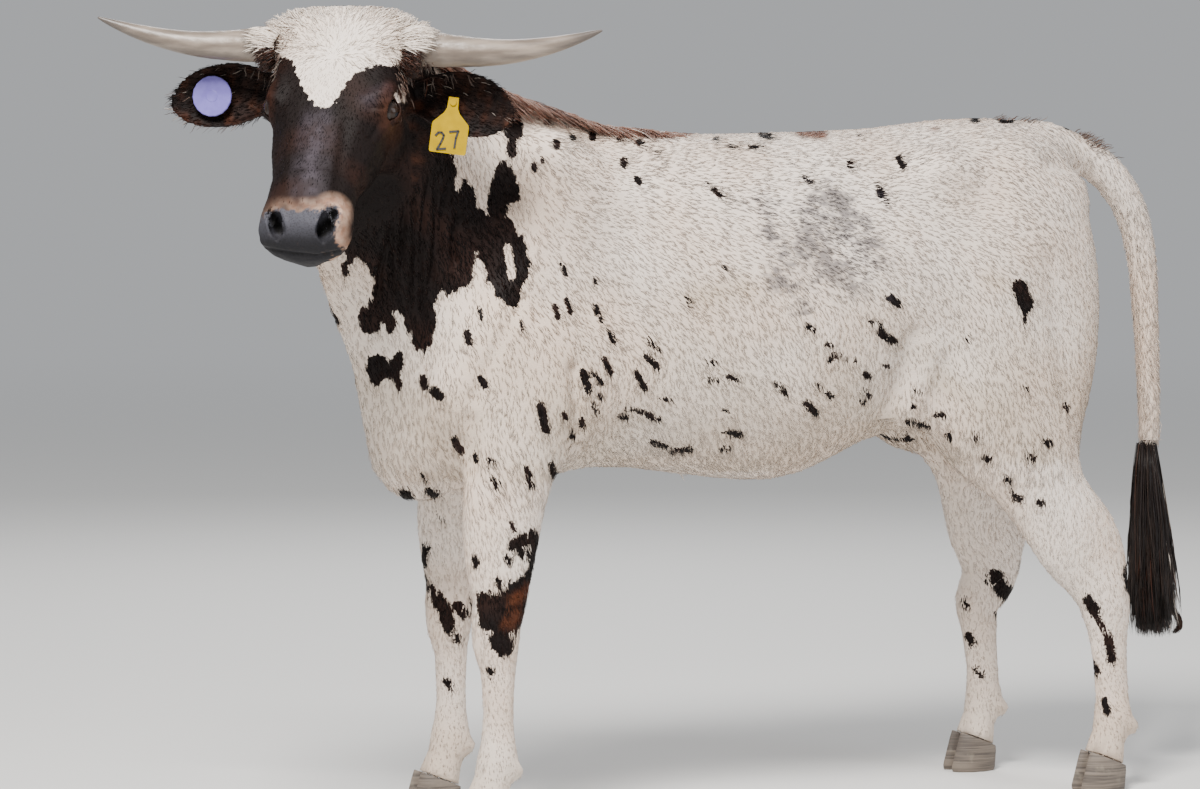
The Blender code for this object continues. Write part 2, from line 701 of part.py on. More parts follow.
def eye_opening(side):
    """An almond that opens the lids: a lens shape pushed through them from outside."""
    outward = Vector((0.20, 0.80, 0.56)).normalized()
    along = Vector((1, -0.10, -0.12))
    half_length, half_height = 0.0195, 0.0115
    outline = []
    for k in range(20):
        a = 2 * math.pi * k / 20
        c, s = math.cos(a), math.sin(a)
        outline.append((half_length * c, half_height * s * (1 - 0.35 * abs(c) ** 3)))
    place = frame(EYE_AT, along, outward)
    rings = []
    for depth, size in ((0.002, 0.80), (0.040, 1.25)):
        ring = [place @ Vector((u * size, v * size, depth)) for u, v in outline]
        rings.append([mirrored(p, side) for p in ring])
    return placed(loft(rings), HEAD)


def nostril_shape(side):
    """A comma-shaped hollow in the side of the nose: the opening and its wing."""
    hollow = ellipsoid((0.394, side * 0.0370, -0.0300), (0.024, 0.0105, 0.0165), (side * -20, 34, 0))
    wing = ellipsoid((0.380, side * 0.0470, -0.0260), (0.015, 0.0100, 0.0070), (0, 34, side * -15))
    for part in (hollow, wing):
        part.transform(HEAD)
    return hollow, wing


def mouth_slit(head):
    """A groove round the muzzle where the lips meet, laid on the head's own surface."""
    tree = BVHTree.FromPolygons([v.co.copy() for v in head.data.vertices],
                                [tuple(p.vertices) for p in head.data.polygons])
    turn = HEAD.to_3x3()
    path = []
    for k in range(37):
        swing = math.radians(-128 + 256 * k / 36)
        level = -0.0715 - 0.0150 * (1 - math.cos(swing)) / 2 - 0.004 * math.cos(swing) ** 8
        hub = HEAD @ Vector((0.356, 0, level))
        way = (turn @ Vector((math.cos(swing), 0.55 * math.sin(swing), 0))).normalized()
        hit = tree.ray_cast(hub, way, 0.2)[0]
        if hit is None:
            raise RuntimeError("the mouth's line misses the head")
        fade = min(1, k / 5, (36 - k) / 5)
        path.append((hit, way, fade))
    up = turn @ Vector((0, 0, 1))
    rings = []
    for hit, way, fade in path:
        deep = 0.0010 + 0.0060 * fade
        tall = 0.0006 + 0.0016 * fade
        rings.append([hit - way * deep, hit + way * 0.001 + up * tall, hit + way * 0.004,
                      hit + way * 0.001 - up * tall])
    return loft(rings)


def finish_head(head, collection):
    """Opens the lids round each eyeball, the nostrils and the line of the mouth."""
    for side in (1, -1):
        eye = HEAD @ mirrored(EYE_AT, side)
        lids = object_from(ball(eye, EYE_RADIUS + LID, 18, 12), "lids", collection)
        boolean(head, lids, "UNION")
        boolean(head, object_from(eye_opening(side), "almond", collection), "DIFFERENCE")
        socket = object_from(ball(eye, EYE_RADIUS + GAP, 14, 10), "socket", collection)
        boolean(head, socket, "DIFFERENCE")
        for shape in nostril_shape(side):
            boolean(head, object_from(shape, "nostril", collection), "DIFFERENCE")
    boolean(head, object_from(mouth_slit(head), "mouth", collection), "DIFFERENCE")
    largest_body(head)


def claw_shape(foot, side):
    """One claw of a hoof, from the sloping coronet to a flat sole on the ground."""
    point, normal = coronet(foot)
    spread = 0.0195
    levels = ((1.00, 0.0165, 0.0360, 0.000), (0.80, 0.0178, 0.0385, -0.002),
              (0.45, 0.0184, 0.0415, -0.006), (0.12, 0.0188, 0.0445, -0.010),
              (0.05, 0.0184, 0.0440, -0.010), (0.00, 0.0170, 0.0425, -0.010))
    rings = []
    for level, half_width, half_length, shift in levels:
        ring = []
        for k in range(CLAW_SIDES):
            a = 2 * math.pi * k / CLAW_SIDES
            c, s = math.cos(a), math.sin(a)
            across = s * half_width * (0.93 if s * side < 0 else 1.0)
            if s * side < 0:
                across = max(abs(across) * 0.98, 0) * math.copysign(1, s)
            taper = 1 - 0.22 * max(0, -c) ** 2
            px = foot.x + TOE + shift + c * half_length
            py = foot.y + side * spread + across * taper - side * 0.004 * max(0, -c) ** 2
            top = point.z - HALF_GAP - (px - point.x) * normal.x / normal.z
            ring.append(Vector((px, py, top * level)))
        rings.append(ring)
    return loft(rings)


def tag_place(side, along, lift):
    """Where a tag pierces an ear: on the axis, at a share of the length, facing out of the cup."""
    axis = Vector((0.03, 0.985, -0.060)).normalized()
    opening = (FORWARD + Vector((0, 0.10, 0.10))).normalized()
    opening = (opening - axis * opening.dot(axis)).normalized()
    centre = EAR_ROOT[side] + axis * (along * EAR_LENGTH[side]) - UPWARD * (0.012 * along * along - lift)
    origin = HEAD @ mirrored(centre, side)
    turn = HEAD.to_3x3()
    return frame(origin, turn @ mirrored(axis, side), turn @ mirrored(opening, side))


PIN_RADIUS = 0.0030


def round_tag():
    """A disc on a pin through the right ear, with a button behind."""
    disc, rim = 0.0330, 0.0012
    profile = ((0, 0), (PIN_RADIUS * 2.4, -0.0245), (PIN_RADIUS * 2.4, -0.0225),
               (PIN_RADIUS, -0.0218), (PIN_RADIUS, 0.0005), (disc - rim, 0.0005),
               (disc, 0.0005 + rim), (disc, 0.0033), (disc - rim, 0.0045), (0.010, 0.0045),
               (0.009, 0.0051), (0, 0))
    return placed(lathe(profile, 18), tag_place(-1, TAG_ALONG[-1], 0.0))


def flag_tag():
    """A yellow flag that hangs from a pin through the left ear."""
    place = tag_place(1, TAG_ALONG[1], 0.0)
    profile = ((0, 0), (0.0075, -0.0320), (0.0075, -0.0298), (PIN_RADIUS, -0.0290),
               (PIN_RADIUS, 0.0030), (0.0060, 0.0040), (0.0055, 0.0070), (0, 0))
    stud = placed(lathe(profile, 14), place)
    outline = ((-0.0080, 0.008), (0.0080, 0.008), (0.0090, -0.010), (0.0130, -0.018),
               (0.0290, -0.034), (0.0300, -0.038), (0.0300, -0.079), (0.0280, -0.082),
               (-0.0280, -0.082), (-0.0300, -0.079), (-0.0300, -0.038), (-0.0290, -0.034),
               (-0.0130, -0.018), (-0.0090, -0.010))
    hang = Vector((0, 0, 1))
    outward = (place.to_3x3() @ Vector((0, 0, 1)))
    outward = (outward - hang * outward.z * 0.75).normalized()
    across = hang.cross(outward).normalized()
    drop = outward.cross(across).normalized()
    drop = (drop + across * 0.13).normalized()
    across = drop.cross(outward).normalized()
    pin = place @ Vector((0, 0, 0.0035))
    plate = bmesh.new()
    front = [plate.verts.new(pin + across * u + drop * v + outward * 0.0012) for u, v in outline]
    rear = [plate.verts.new(pin + across * u + drop * v - outward * 0.0012) for u, v in outline]
    plate.faces.new(front)
    plate.faces.new(list(reversed(rear)))
    for k in range(len(outline)):
        j = (k + 1) % len(outline)
        plate.faces.new((front[j], front[k], rear[k], rear[j]))
    return stud, plate


def pin_hole(side, along):
    bm = bmesh.new()
    bmesh.ops.create_cone(bm, cap_ends=True, segments=14, radius1=PIN_RADIUS + GAP,
                          radius2=PIN_RADIUS + GAP, depth=0.08)
    return placed(bm, tag_place(side, along, 0.0))


SWITCH = (
    (0.858, 0, TAIL_END - HALF_GAP, 0.0225, 0.0225), (0.858, 0, 0.560, 0.021, 0.021),
    (0.860, 0, 0.500, 0.020, 0.021), (0.862, 0, 0.430, 0.017, 0.018),
    (0.864, 0, 0.370, 0.011, 0.012), (0.864, 0, 0.330, 0.004, 0.004),
)
SWITCH_LOCKS = 17
SWITCH_TIP = 0.238       # height of the lowest tips
SWITCH_MIDDLE = (0.866, 0.0)
CREST_FROM, CREST_TO = -0.565, -0.090    # along the nape and the withers
CREST_LOCKS = 17
CREST_LOCK = (0.066, 0.030, 0.009)       # length, width, thickness


def lock(path, face, width, thickness):
    """A flat, tapered lock of hair along a path, its broad side facing a direction."""
    last = len(path) - 1
    rings = []
    for i, point in enumerate(path):
        ahead = (path[min(i + 1, last)] - path[max(i - 1, 0)]).normalized()
        across = ahead.cross(face).normalized()
        out = across.cross(ahead).normalized()
        t = i / last
        half = width / 2 * max(0.06, math.sin(math.pi * (0.28 + 0.72 * t)))
        thick = thickness / 2 * (1 - 0.8 * t)
        rings.append([point + across * half, point + out * thick,
                      point - across * half, point - out * thick])
    return loft(rings)


def bent_path(start, direction, sag, length, steps=3):
    """A path that leaves in a direction and bends; the sag is for a unit length."""
    points = [start]
    for k in range(1, steps + 1):
        t = k / steps
        points.append(start + (direction * t + sag * t * t) * length)
    return points


def switch_locks(rng):
    """The tail's tuft: tiers of locks rooted in its core, hanging to the tips."""
    made = []
    for k in range(SWITCH_LOCKS):
        share = k / SWITCH_LOCKS
        turn = k * GOLDEN_TURN
        core = 0.021 - 0.013 * share
        root = between(TAIL_END - 0.045, 0.350, share)
        out = Vector((math.cos(turn), math.sin(turn), 0))
        middle = Vector((SWITCH_MIDDLE[0], SWITCH_MIDDLE[1], root))
        spread = 0.34 + 0.14 * rng.random()
        length = min(0.17 + 0.06 * rng.random(), root - SWITCH_TIP)
        drift = Vector((rng.uniform(-0.04, 0.06), rng.uniform(-0.05, 0.05), 0))
        path = bent_path(middle + out * core * 0.5, Vector((0, 0, -1)) + out * spread,
                         drift - out * spread * 0.86, length)
        made.append(lock(path, out, 0.031, 0.008))
    curl = (Vector((0.868, 0.004, 0.480)), Vector((0.902, 0.004, 0.425)),
            Vector((0.914, 0.004, 0.370)), Vector((0.932, 0.000, 0.312)))
    made.append(lock(curl, Vector((0, 1, 0.2)), 0.014, 0.007))
    return made


def surface_tree(obj):
    return BVHTree.FromPolygons([v.co.copy() for v in obj.data.vertices],
                                [tuple(f.vertices) for f in obj.data.polygons])


def crest_locks(node, tree):
    """Reddish fringe along the top of the neck and the withers, lying back along it."""
    length, width, thickness = CREST_LOCK
    point, facing = NECK_CUT
    behind_cut = -Vector(facing).normalized()
    made = []
    for k in range(CREST_LOCKS):
        x = between(CREST_FROM, CREST_TO, k / (CREST_LOCKS - 1))
        bend = min(1, max(0, (-0.36 - x) / 0.36)) ** 1.2
        y = -0.118 * bend + (0.008 if k % 2 else -0.008)
        lift = min(0.75, 0.15 + 5 * (CREST_TO - x))
        hit, normal = tree.ray_cast(Vector((x, y, 1.6)), Vector((0, 0, -1)))[:2]
        if hit is None:
            continue
        start = hit - normal * 0.008
        depth = (start - Vector(point)).dot(behind_cut)
        room = -depth - 0.004 if node == "neck" else length
        if node == "torso" and depth < 0.012 or room < 0.008:
            continue
        reach = min(length, max(0.040, room * 1.1))
        flat = min(1, room / reach)
        upward = normal * max(lift, 1.1 * (1 - flat))
        direction = (Vector((1, 0, 0)) * flat + upward).normalized()
        path = bent_path(start, direction, -normal * 0.45 * lift, reach)
        made.append(lock(path, Vector((0, 0.3, 1)), width, thickness))
    return made


def fuse(node, locks):
    """Joins locks to the node that they grow from, as one closed body."""
    if not locks:
        return
    tufts = new_collection("tufts")
    for bm in locks:
        object_from(bm, "lock", tufts)
    joined = node.modifiers.new("tufts", "BOOLEAN")
    joined.operation = "UNION"
    joined.operand_type = "COLLECTION"
    joined.collection = tufts
    joined.solver = "EXACT"
    apply_modifiers(node)
    for obj in list(tufts.objects):
        bpy.data.objects.remove(obj)
    bpy.data.collections.remove(tufts)
    largest_body(node)


def add_hair(nodes):
    """The tail's tuft and the fringe of the nape, fused into their nodes."""
    rng = random.Random(11)
    fuse(nodes["tail_switch"], switch_locks(rng))
    for name in ("neck", "torso"):
        fuse(nodes[name], crest_locks(name, surface_tree(nodes[name])))


def material(name, colour, roughness):
    made = bpy.data.materials.new(name)
    made.use_nodes = True
    surface = made.node_tree.nodes["Principled BSDF"]
    surface.inputs["Base Color"].default_value = (*colour, 1)
    surface.inputs["Roughness"].default_value = roughness
    return made


COAT_WHITE = (0.78, 0.74, 0.70)
COAT_DARK = (0.045, 0.030, 0.026)
HORN_GREY = (0.42, 0.39, 0.34)
HOOF_GREY = (0.16, 0.14, 0.12)
EYE_BROWN = (0.030, 0.018, 0.012)
TAG_LILAC = (0.56, 0.56, 0.80)
TAG_YELLOW = (0.85, 0.62, 0.03)


def main():
    clear_scene()
    body = new_collection("longhorn")
    flesh = flesh_whole(body)
    nodes = part_flesh(flesh, body)
    bpy.data.objects.remove(flesh)
    head = nodes["head"]
    finish_head(head, body)

    for side, word in ((1, "left"), (-1, "right")):
        ear = object_from(ear_shape(side), f"ear_{word}", body)
        boolean(ear, grown(head, GAP, body), "DIFFERENCE", "MANIFOLD")
        along = TAG_ALONG[side]
        boolean(ear, object_from(pin_hole(side, along), "hole", body), "DIFFERENCE", "MANIFOLD")
        largest_body(ear)
        horn = object_from(horn_shape(side), f"horn_{word}", body)
        boolean(horn, grown(head, GAP, body), "DIFFERENCE")
        largest_body(horn)
        eye = object_from(ball(HEAD @ mirrored(EYE_AT, side), EYE_RADIUS, 14, 10),
                          f"eye_{word}", body)
        nodes.update({ear.name: ear, horn.name: horn, eye.name: eye})

    disc = object_from(round_tag(), "tag_round", body)
    stud, plate = flag_tag()
    flag = object_from(stud, "tag_flag", body)
    boolean(flag, object_from(plate, "plate", body), "UNION")
    nodes.update({"tag_round": disc, "tag_flag": flag})

    for word, foot in (("front_left", FRONT_LEFT), ("front_right", FRONT_RIGHT),
                       ("hind_left", HIND_LEFT), ("hind_right", HIND_RIGHT)):
        for side, place in ((-1, "left"), (1, "right")):
            name = f"claw_{word}_{place}"
            nodes[name] = object_from(claw_shape(foot, side), name, body)

    nodes["tail_switch"] = object_from(tube(SWITCH, Vector((1, 0, 0.4)), 2, 10), "tail_switch", body)
    add_hair(nodes)

    looks = {"horn": (HORN_GREY, 0.5), "claw": (HOOF_GREY, 0.5), "eye": (EYE_BROWN, 0.1),
             "ear": (COAT_DARK, 0.8), "tag_round": (TAG_LILAC, 0.4), "tag_flag": (TAG_YELLOW, 0.4)}
    for name, node in nodes.items():
        colour, roughness = next((look for key, look in looks.items() if name.startswith(key)),
                                 (COAT_WHITE, 0.8))
        node.data.materials.clear()
        node.data.materials.append(material(name, colour, roughness))
        node.data.transform(Matrix.Translation(-MIDDLE))


main()
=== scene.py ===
"""A texas longhorn heifer, standing side on with her head turned to the viewer.

One skin takes the place of the solids of flesh. The short coat, the long hair, the horns,
eyes, claws and ear tags are pieces of their own, each made by an operator.
"""

import math

import bmesh
import bpy
import numpy as np
from bpy.props import FloatProperty, FloatVectorProperty, IntProperty, PointerProperty
from mathutils import Matrix, Vector


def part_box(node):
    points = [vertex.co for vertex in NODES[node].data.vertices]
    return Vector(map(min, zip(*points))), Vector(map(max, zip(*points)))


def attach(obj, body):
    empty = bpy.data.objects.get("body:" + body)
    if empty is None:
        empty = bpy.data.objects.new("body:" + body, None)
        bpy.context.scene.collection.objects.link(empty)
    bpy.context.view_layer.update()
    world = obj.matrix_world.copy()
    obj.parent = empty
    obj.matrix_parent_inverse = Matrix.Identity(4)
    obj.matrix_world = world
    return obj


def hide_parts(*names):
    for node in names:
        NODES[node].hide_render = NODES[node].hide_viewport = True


bl_info = {
    "name": "Longhorn heifer",
    "version": (1, 0, 0),
    "blender": (4, 5, 0),
    "location": "View3D > Sidebar > Longhorn",
    "description": "Skin, coat, horns, hooves, eyes and ear tags of a longhorn heifer",
    "category": "Object",
}

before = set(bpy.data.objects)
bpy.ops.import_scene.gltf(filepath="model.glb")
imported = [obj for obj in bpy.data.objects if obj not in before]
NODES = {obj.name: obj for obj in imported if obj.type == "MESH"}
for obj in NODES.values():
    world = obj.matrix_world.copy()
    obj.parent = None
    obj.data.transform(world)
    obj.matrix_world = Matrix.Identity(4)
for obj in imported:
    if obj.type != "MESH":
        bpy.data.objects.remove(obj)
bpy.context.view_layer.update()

# The photo's camera, in the row frame
PHOTO_WIDTH, PHOTO_HEIGHT = 1200, 789
CAMERA_AT = Vector((-2.9015, -5.793, 1.12))
CAMERA_AIM = Vector((-0.1545, 0.098, 0.715))
LENS, SENSOR = 115.5, 36.0

# The animal's own frames and the places where its parts meet, in metres
MIDDLE_Y = 0.098                          # plane that halves the trunk
LEG_TOP, TAIL_FRONT = 0.585, 0.835        # height and x where legs and tail leave the trunk
HEAD_AT = Vector((-0.6745, -0.055, 1.330))
HEAD_YAW, HEAD_PITCH, HEAD_ROLL = math.radians(52), math.radians(50), math.radians(-2.8)
HEAD_CUT = ((-0.6145, 0.023, 1.125), (-0.605, -0.731, 0.312))  # a point on it, its facing
EYE_AT = (0.148, 0.089, -0.041)           # in the head's frame, on either side
SWITCH_X = 0.9395                         # middle line of the hanging tail
# Along the nape: x and the height of the skin there
NAPE = ((-0.600, 1.316), (-0.560, 1.310), (-0.520, 1.292), (-0.440, 1.254), (-0.360, 1.226),
        (-0.240, 1.192), (-0.180, 1.172), (-0.060, 1.163), (0.100, 1.159))
FLESH = ("head", "neck", "torso", "foreleg_left", "foreleg_right", "hindleg_left",
         "hindleg_right", "tail_base", "tail_middle", "ear_left", "ear_right")
HORNS = ("horn_left", "horn_right")
LEGS = ("foreleg_left", "foreleg_right", "hindleg_left", "hindleg_right")
CLAWS = tuple(f"claw_{end}_{side}_{half}" for end in ("front", "hind")
              for side in ("left", "right") for half in ("left", "right"))
SKIN_VOXEL = 0.0032
FIELDS = ("dark", "rust", "roan_and_painted_sheen", "slate", "tan", "stain_and_low_darkening", "hollow", "shade")

# Markings in pixels of the photo: outlines, and blots as a stroke's two ends and its radius
MARK_SCALE = 600                          # pixels of depth to a metre, for marks set by size
MUZZLE_ROWS = (214, 246)                  # rows over which the muzzle darkens
WHITE_POLL = ((225, -10), (225, 45), (243, 50), (252, 45), (268, 48), (272, 58), (281, 57), (292, 60),
              (297, 74), (303, 88), (310, 100), (320, 108), (329, 107), (338, 98), (346, 84),
              (355, 73), (368, 67), (383, 64), (394, 67), (401, 62), (404, 54), (418, 52),
              (436, 50), (445, -10))
NECK_DARK = ((300, 100), (402, 100), (445, 128), (452, 160), (457, 192), (467, 178), (477, 205),
             (487, 216), (491, 190), (497, 163), (505, 159), (512, 172), (518, 186), (517, 200),
             (509, 206), (507, 216), (518, 226), (527, 246), (530, 266), (522, 284), (520, 306),
             (512, 309), (500, 298), (491, 288), (484, 271), (475, 252), (474, 270), (469, 287),
             (458, 291), (448, 292), (441, 283), (436, 310), (431, 345), (421, 352), (411, 344),
             (402, 322), (397, 308), (393, 331), (387, 332), (384, 316), (377, 331), (364, 333),
             (360, 326), (361, 311), (371, 298), (375, 284), (371, 268), (361, 258), (352, 264),
             (345, 279), (341, 272), (347, 255), (300, 240))
STAR = ((366, 369), (368, 359), (376, 354), (384, 357), (389, 362), (394, 355), (401, 351), (404, 361),
        (401, 372), (404, 386), (399, 392), (393, 383), (388, 377), (383, 380), (379, 388), (372, 383))
ROAN = ((738, 205), (760, 190), (800, 188), (850, 192), (880, 212), (891, 250), (888, 280),
        (868, 298), (838, 300), (800, 312), (778, 300), (768, 268), (750, 232))
MUZZLE = ((264, 212), (280, 209), (300, 210), (318, 209), (331, 205), (337, 214), (338, 230),
          (336, 242), (345, 248), (350, 254), (332, 259), (326, 269), (300, 270), (270, 262),
          (250, 246), (256, 226))
# Painted shade: strokes over the nostrils and along the mouth's cleft, coloured near black
HOLE_SHADE_STROKES = ((272, 209, 273, 214, 2.5), (274, 219, 279, 230, 5.5), (332, 212, 331, 220, 4),
           (329, 224, 322, 231, 7), (266, 249, 290, 253, 2.3), (290, 253, 316, 255, 2.3),
           (316, 255, 350, 249, 2.3))
NOSTRILS = ((275, 220, 278, 230, 6), (331, 214, 324, 231, 7))
LIPS = ((262, 248, 290, 253, 2.2), (290, 253, 318, 256, 2.2), (318, 256, 348, 249, 2.2))
# Painted sheen: the face's dark hair is lightened to bluish grey as a painted reflection of the sky down
# the nose, with a painted highlight on the brow
FACE_SHEEN = ((318, 122, 308, 188, 13), (386, 92, 366, 100, 3))
EYE_HAIRS = ((396, 95, 399, 101, 2.0), (403, 92, 404, 101, 1.6))
NECK_BLOTS = ((512, 116, 514, 132, 9), (512, 144, 512, 153, 5), (311, 268, 321, 298, 3),
              (321, 298, 337, 323, 3))
WHITE_BLOTS = ((508, 248, 512, 276, 4), (401, 330, 406, 338, 3))
BODY_SPOTS = (
    (556, 143, 557, 146, 4), (534, 165, 535, 169, 3), (542, 160, 542, 162, 2),
    (546, 122, 548, 124, 3), (572, 136, 573, 139, 3), (592, 134, 593, 138, 4),
    (605, 132, 606, 134, 3), (619, 138, 620, 140, 3), (638, 142, 645, 146, 3.5),
    (655, 152, 656, 153, 2), (624, 161, 624, 165, 4), (637, 179, 640, 182, 4),
    (706, 182, 707, 184, 2), (714, 190, 724, 199, 3), (716, 139, 717, 141, 3),
    (731, 146, 735, 146, 3), (751, 147, 757, 147, 3), (762, 135, 770, 137, 3.5),
    (804, 178, 811, 183, 2.5), (850, 163, 851, 166, 3.5), (858, 136, 860, 136, 2),
    (899, 158, 903, 166, 4), (922, 161, 922, 163, 2), (973, 120, 977, 121, 3),
    (1001, 120, 1012, 120, 3.5), (877, 186, 885, 202, 4), (562, 264, 566, 275, 2.5),
    (595, 278, 596, 283, 2), (723, 264, 725, 270, 2.5), (687, 298, 689, 305, 2.5),
    (554, 307, 558, 318, 2.5), (566, 300, 571, 314, 2.5), (595, 305, 600, 320, 3),
    (609, 331, 614, 342, 3), (649, 339, 657, 351, 3.5), (645, 354, 659, 369, 3.5),
    (604, 360, 612, 374, 3.5), (583, 372, 589, 391, 4), (593, 372, 602, 384, 2.5),
    (636, 373, 645, 388, 3.5), (705, 361, 715, 364, 3), (707, 379, 719, 381, 3),
    (728, 376, 738, 379, 3), (777, 384, 785, 394, 3.5), (806, 403, 815, 413, 4),
    (827, 393, 831, 396, 3.5), (815, 386, 821, 388, 2.5), (865, 373, 868, 377, 3.5),
    (865, 390, 869, 396, 3), (860, 401, 863, 403, 2.5), (883, 366, 888, 367, 2.5),
    (829, 360, 838, 356, 3), (847, 359, 854, 361, 3), (826, 344, 832, 347, 3),
    (807, 326, 813, 331, 3.5), (871, 320, 881, 327, 3.5), (880, 333, 894, 342, 4.5),
    (889, 297, 898, 305, 4), (915, 391, 920, 393, 3), (912, 406, 915, 407, 3),
    (937, 414, 943, 415, 3.5), (908, 422, 920, 425, 3), (924, 424, 928, 426, 3),
    (948, 435, 951, 438, 3.5), (974, 434, 977, 438, 3.5), (1025, 388, 1028, 391, 3),
    (1045, 438, 1049, 444, 3.5), (967, 336, 968, 340, 2.5), (1019, 287, 1026, 304, 8),
    (1024, 306, 1025, 324, 2.5), (722, 411, 729, 413, 2.5), (731, 433, 740, 434, 4),
    (641, 412, 658, 419, 3.5), (627, 407, 638, 411, 2.5), (620, 417, 626, 418, 3),
    (661, 398, 672, 401, 2), (599, 394, 602, 399, 2.5), (591, 403, 598, 413, 2.5),
    (582, 420, 583, 427, 3.5), (563, 414, 566, 419, 3), (540, 405, 546, 430, 4.5),
    (571, 433, 573, 438, 3), (652, 442, 664, 446, 3), (672, 452, 690, 449, 3),
    (723, 449, 728, 449, 3), (984, 458, 990, 460, 3.5), (1027, 456, 1033, 459, 3.5),
    (1007, 479, 1010, 481, 3), (1014, 498, 1021, 499, 4), (1039, 502, 1044, 505, 4),
    (1065, 406, 1068, 409, 3.5), (467, 333, 469, 342, 4), (481, 379, 485, 386, 4),
    (423, 378, 425, 387, 4), (434, 391, 440, 397, 5), (480, 308, 482, 318, 2),
    (521, 322, 523, 330, 2), (555, 306, 558, 318, 3), (455, 441, 462, 452, 4),
    (475, 456, 477, 461, 3), (488, 459, 491, 463, 3), (494, 481, 499, 486, 4),
    (526, 468, 529, 475, 3), (528, 481, 532, 486, 4), (551, 464, 554, 475, 3.5),
    (403, 492, 410, 498, 5), (428, 491, 436, 495, 4), (437, 518, 442, 521, 3),
    (421, 474, 424, 480, 2.5), (1066, 126, 1076, 127, 4), (1082, 124, 1090, 133, 4),
)
NEAR_LEG_SPOTS = (
    (510, 525, 513, 529, 3), (514, 545, 533, 536, 7), (537, 548, 533, 572, 6),
    (506, 558, 510, 563, 4), (521, 552, 527, 558, 5), (512, 600, 532, 580, 12),
    (487, 606, 500, 602, 9), (500, 622, 520, 612, 14), (500, 640, 504, 648, 10),
    (482, 596, 486, 626, 7), (474, 556, 476, 566, 3), (497, 580, 500, 584, 4),
    (1072, 614, 1079, 640, 8), (1088, 600, 1096, 614, 6), (1128, 570, 1132, 590, 6),
    (1108, 640, 1112, 660, 5), (490, 670, 494, 676, 4), (1090, 664, 1096, 672, 5),
    (1104, 700, 1108, 712, 4),
)
FAR_LEG_SPOTS = (
    (426, 545, 424, 566, 4), (431, 588, 433, 596, 5), (438, 600, 446, 612, 7),
    (446, 618, 450, 628, 7), (458, 606, 464, 614, 6), (423, 578, 424, 582, 3),
    (474, 600, 478, 612, 5), (452, 632, 458, 640, 5), (994, 578, 1006, 592, 9),
    (1028, 566, 1033, 582, 8), (964, 602, 967, 608, 4), (968, 634, 973, 646, 4),
    (998, 616, 1004, 622, 5), (1002, 640, 1008, 660, 5), (975, 668, 980, 674, 4),
    (446, 680, 452, 688, 4),
)
RUST_BLOTS = (
    (801, 132, 823, 134, 6), (718, 127, 744, 129, 4), (762, 127, 772, 128, 2),
    (931, 128, 934, 129, 3),
)
RUST_KNEES = ((514, 600, 534, 586, 8), (506, 626, 520, 616, 7), (1028, 566, 1034, 578, 4))
STAINS = (
    (696, 297, 722, 292, 12), (740, 282, 748, 294, 9), (940, 380, 960, 390, 14),
    (990, 280, 1000, 286, 8),
)
FOLDS = ((409, 128, 403, 292), (419, 134, 410, 322), (429, 166, 419, 332), (439, 168, 430, 306),
         (448, 176, 441, 276), (399, 186, 386, 306), (461, 204, 454, 276), (392, 232, 374, 310))
# Forms of the face, then of the trunk: a stroke in the photo, its reach in pixels, its height in mm
FACE_FORMS = (
    (364, 98, 394, 88, 5.5, 4), (372, 107, 384, 108, 3, -3), (380, 124, 372, 138, 3, -2.5),
    (386, 130, 356, 184, 7, 3), (346, 124, 338, 190, 7, -3), (312, 116, 304, 192, 9, 2),
    (268, 96, 276, 98, 4, 2.5), (278, 126, 276, 190, 6, -2), (366, 196, 384, 150, 9, -2),
    (352, 206, 356, 226, 5, 3), (300, 206, 300, 214, 8, 1.5), (272, 238, 262, 242, 6, 2),
)
FORMS = (
    (562, 150, 512, 320, 18, 8), (608, 200, 588, 320, 16, -3), (543, 345, 548, 400, 34, 11),
    (573, 368, 580, 448, 6, -13), (440, 392, 446, 412, 28, 9), (405, 455, 412, 480, 22, 6),
    (862, 205, 882, 222, 34, -14), (948, 166, 962, 176, 19, 13), (1078, 182, 1086, 196, 14, 9),
    (1020, 225, 1030, 245, 26, 7), (990, 310, 1000, 370, 52, 9), (1052, 262, 1068, 400, 11, -6),
    (908, 426, 936, 345, 10, 9), (888, 420, 914, 335, 9, -9), (955, 430, 965, 445, 26, 8),
    (1052, 160, 1088, 172, 8, -8), (648, 150, 640, 420, 7, 1.6), (684, 150, 680, 440, 7, 1.6),
    (720, 152, 720, 445, 7, 1.6), (757, 152, 760, 440, 7, 1.6), (793, 152, 800, 420, 7, 1.6),
    (828, 152, 838, 390, 7, 1.6), (520, 300, 476, 398, 8, -5), (470, 420, 474, 520, 7, -6),
    (690, 470, 770, 466, 10, 5),
)
BREAST_FOLDS = ((452, 432, 474, 470), (444, 448, 472, 482), (580, 372, 590, 440))


def smoothstep(low, high, value):
    """Rises from 0 at low to 1 at high with soft ends, or falls where low is the larger."""
    t = np.clip((value - low) / (high - low), 0, 1)
    return t * t * (3 - 2 * t)


def head_turn():
    """Columns: down the face to the nose, to her left, and up off the forehead."""
    face = Vector((-math.cos(HEAD_YAW) * math.cos(HEAD_PITCH),
                   -math.sin(HEAD_YAW) * math.cos(HEAD_PITCH), -math.sin(HEAD_PITCH)))
    crown = Vector((-math.cos(HEAD_YAW) * math.sin(HEAD_PITCH),
                    -math.sin(HEAD_YAW) * math.sin(HEAD_PITCH), math.cos(HEAD_PITCH)))
    turn = Matrix((face, crown.cross(face), crown)).transposed()
    return turn @ Matrix.Rotation(HEAD_ROLL, 3, "X")


def head_place(points):
    """Places in the head's frame."""
    return (points - np.array(HEAD_AT)) @ np.array(head_turn())


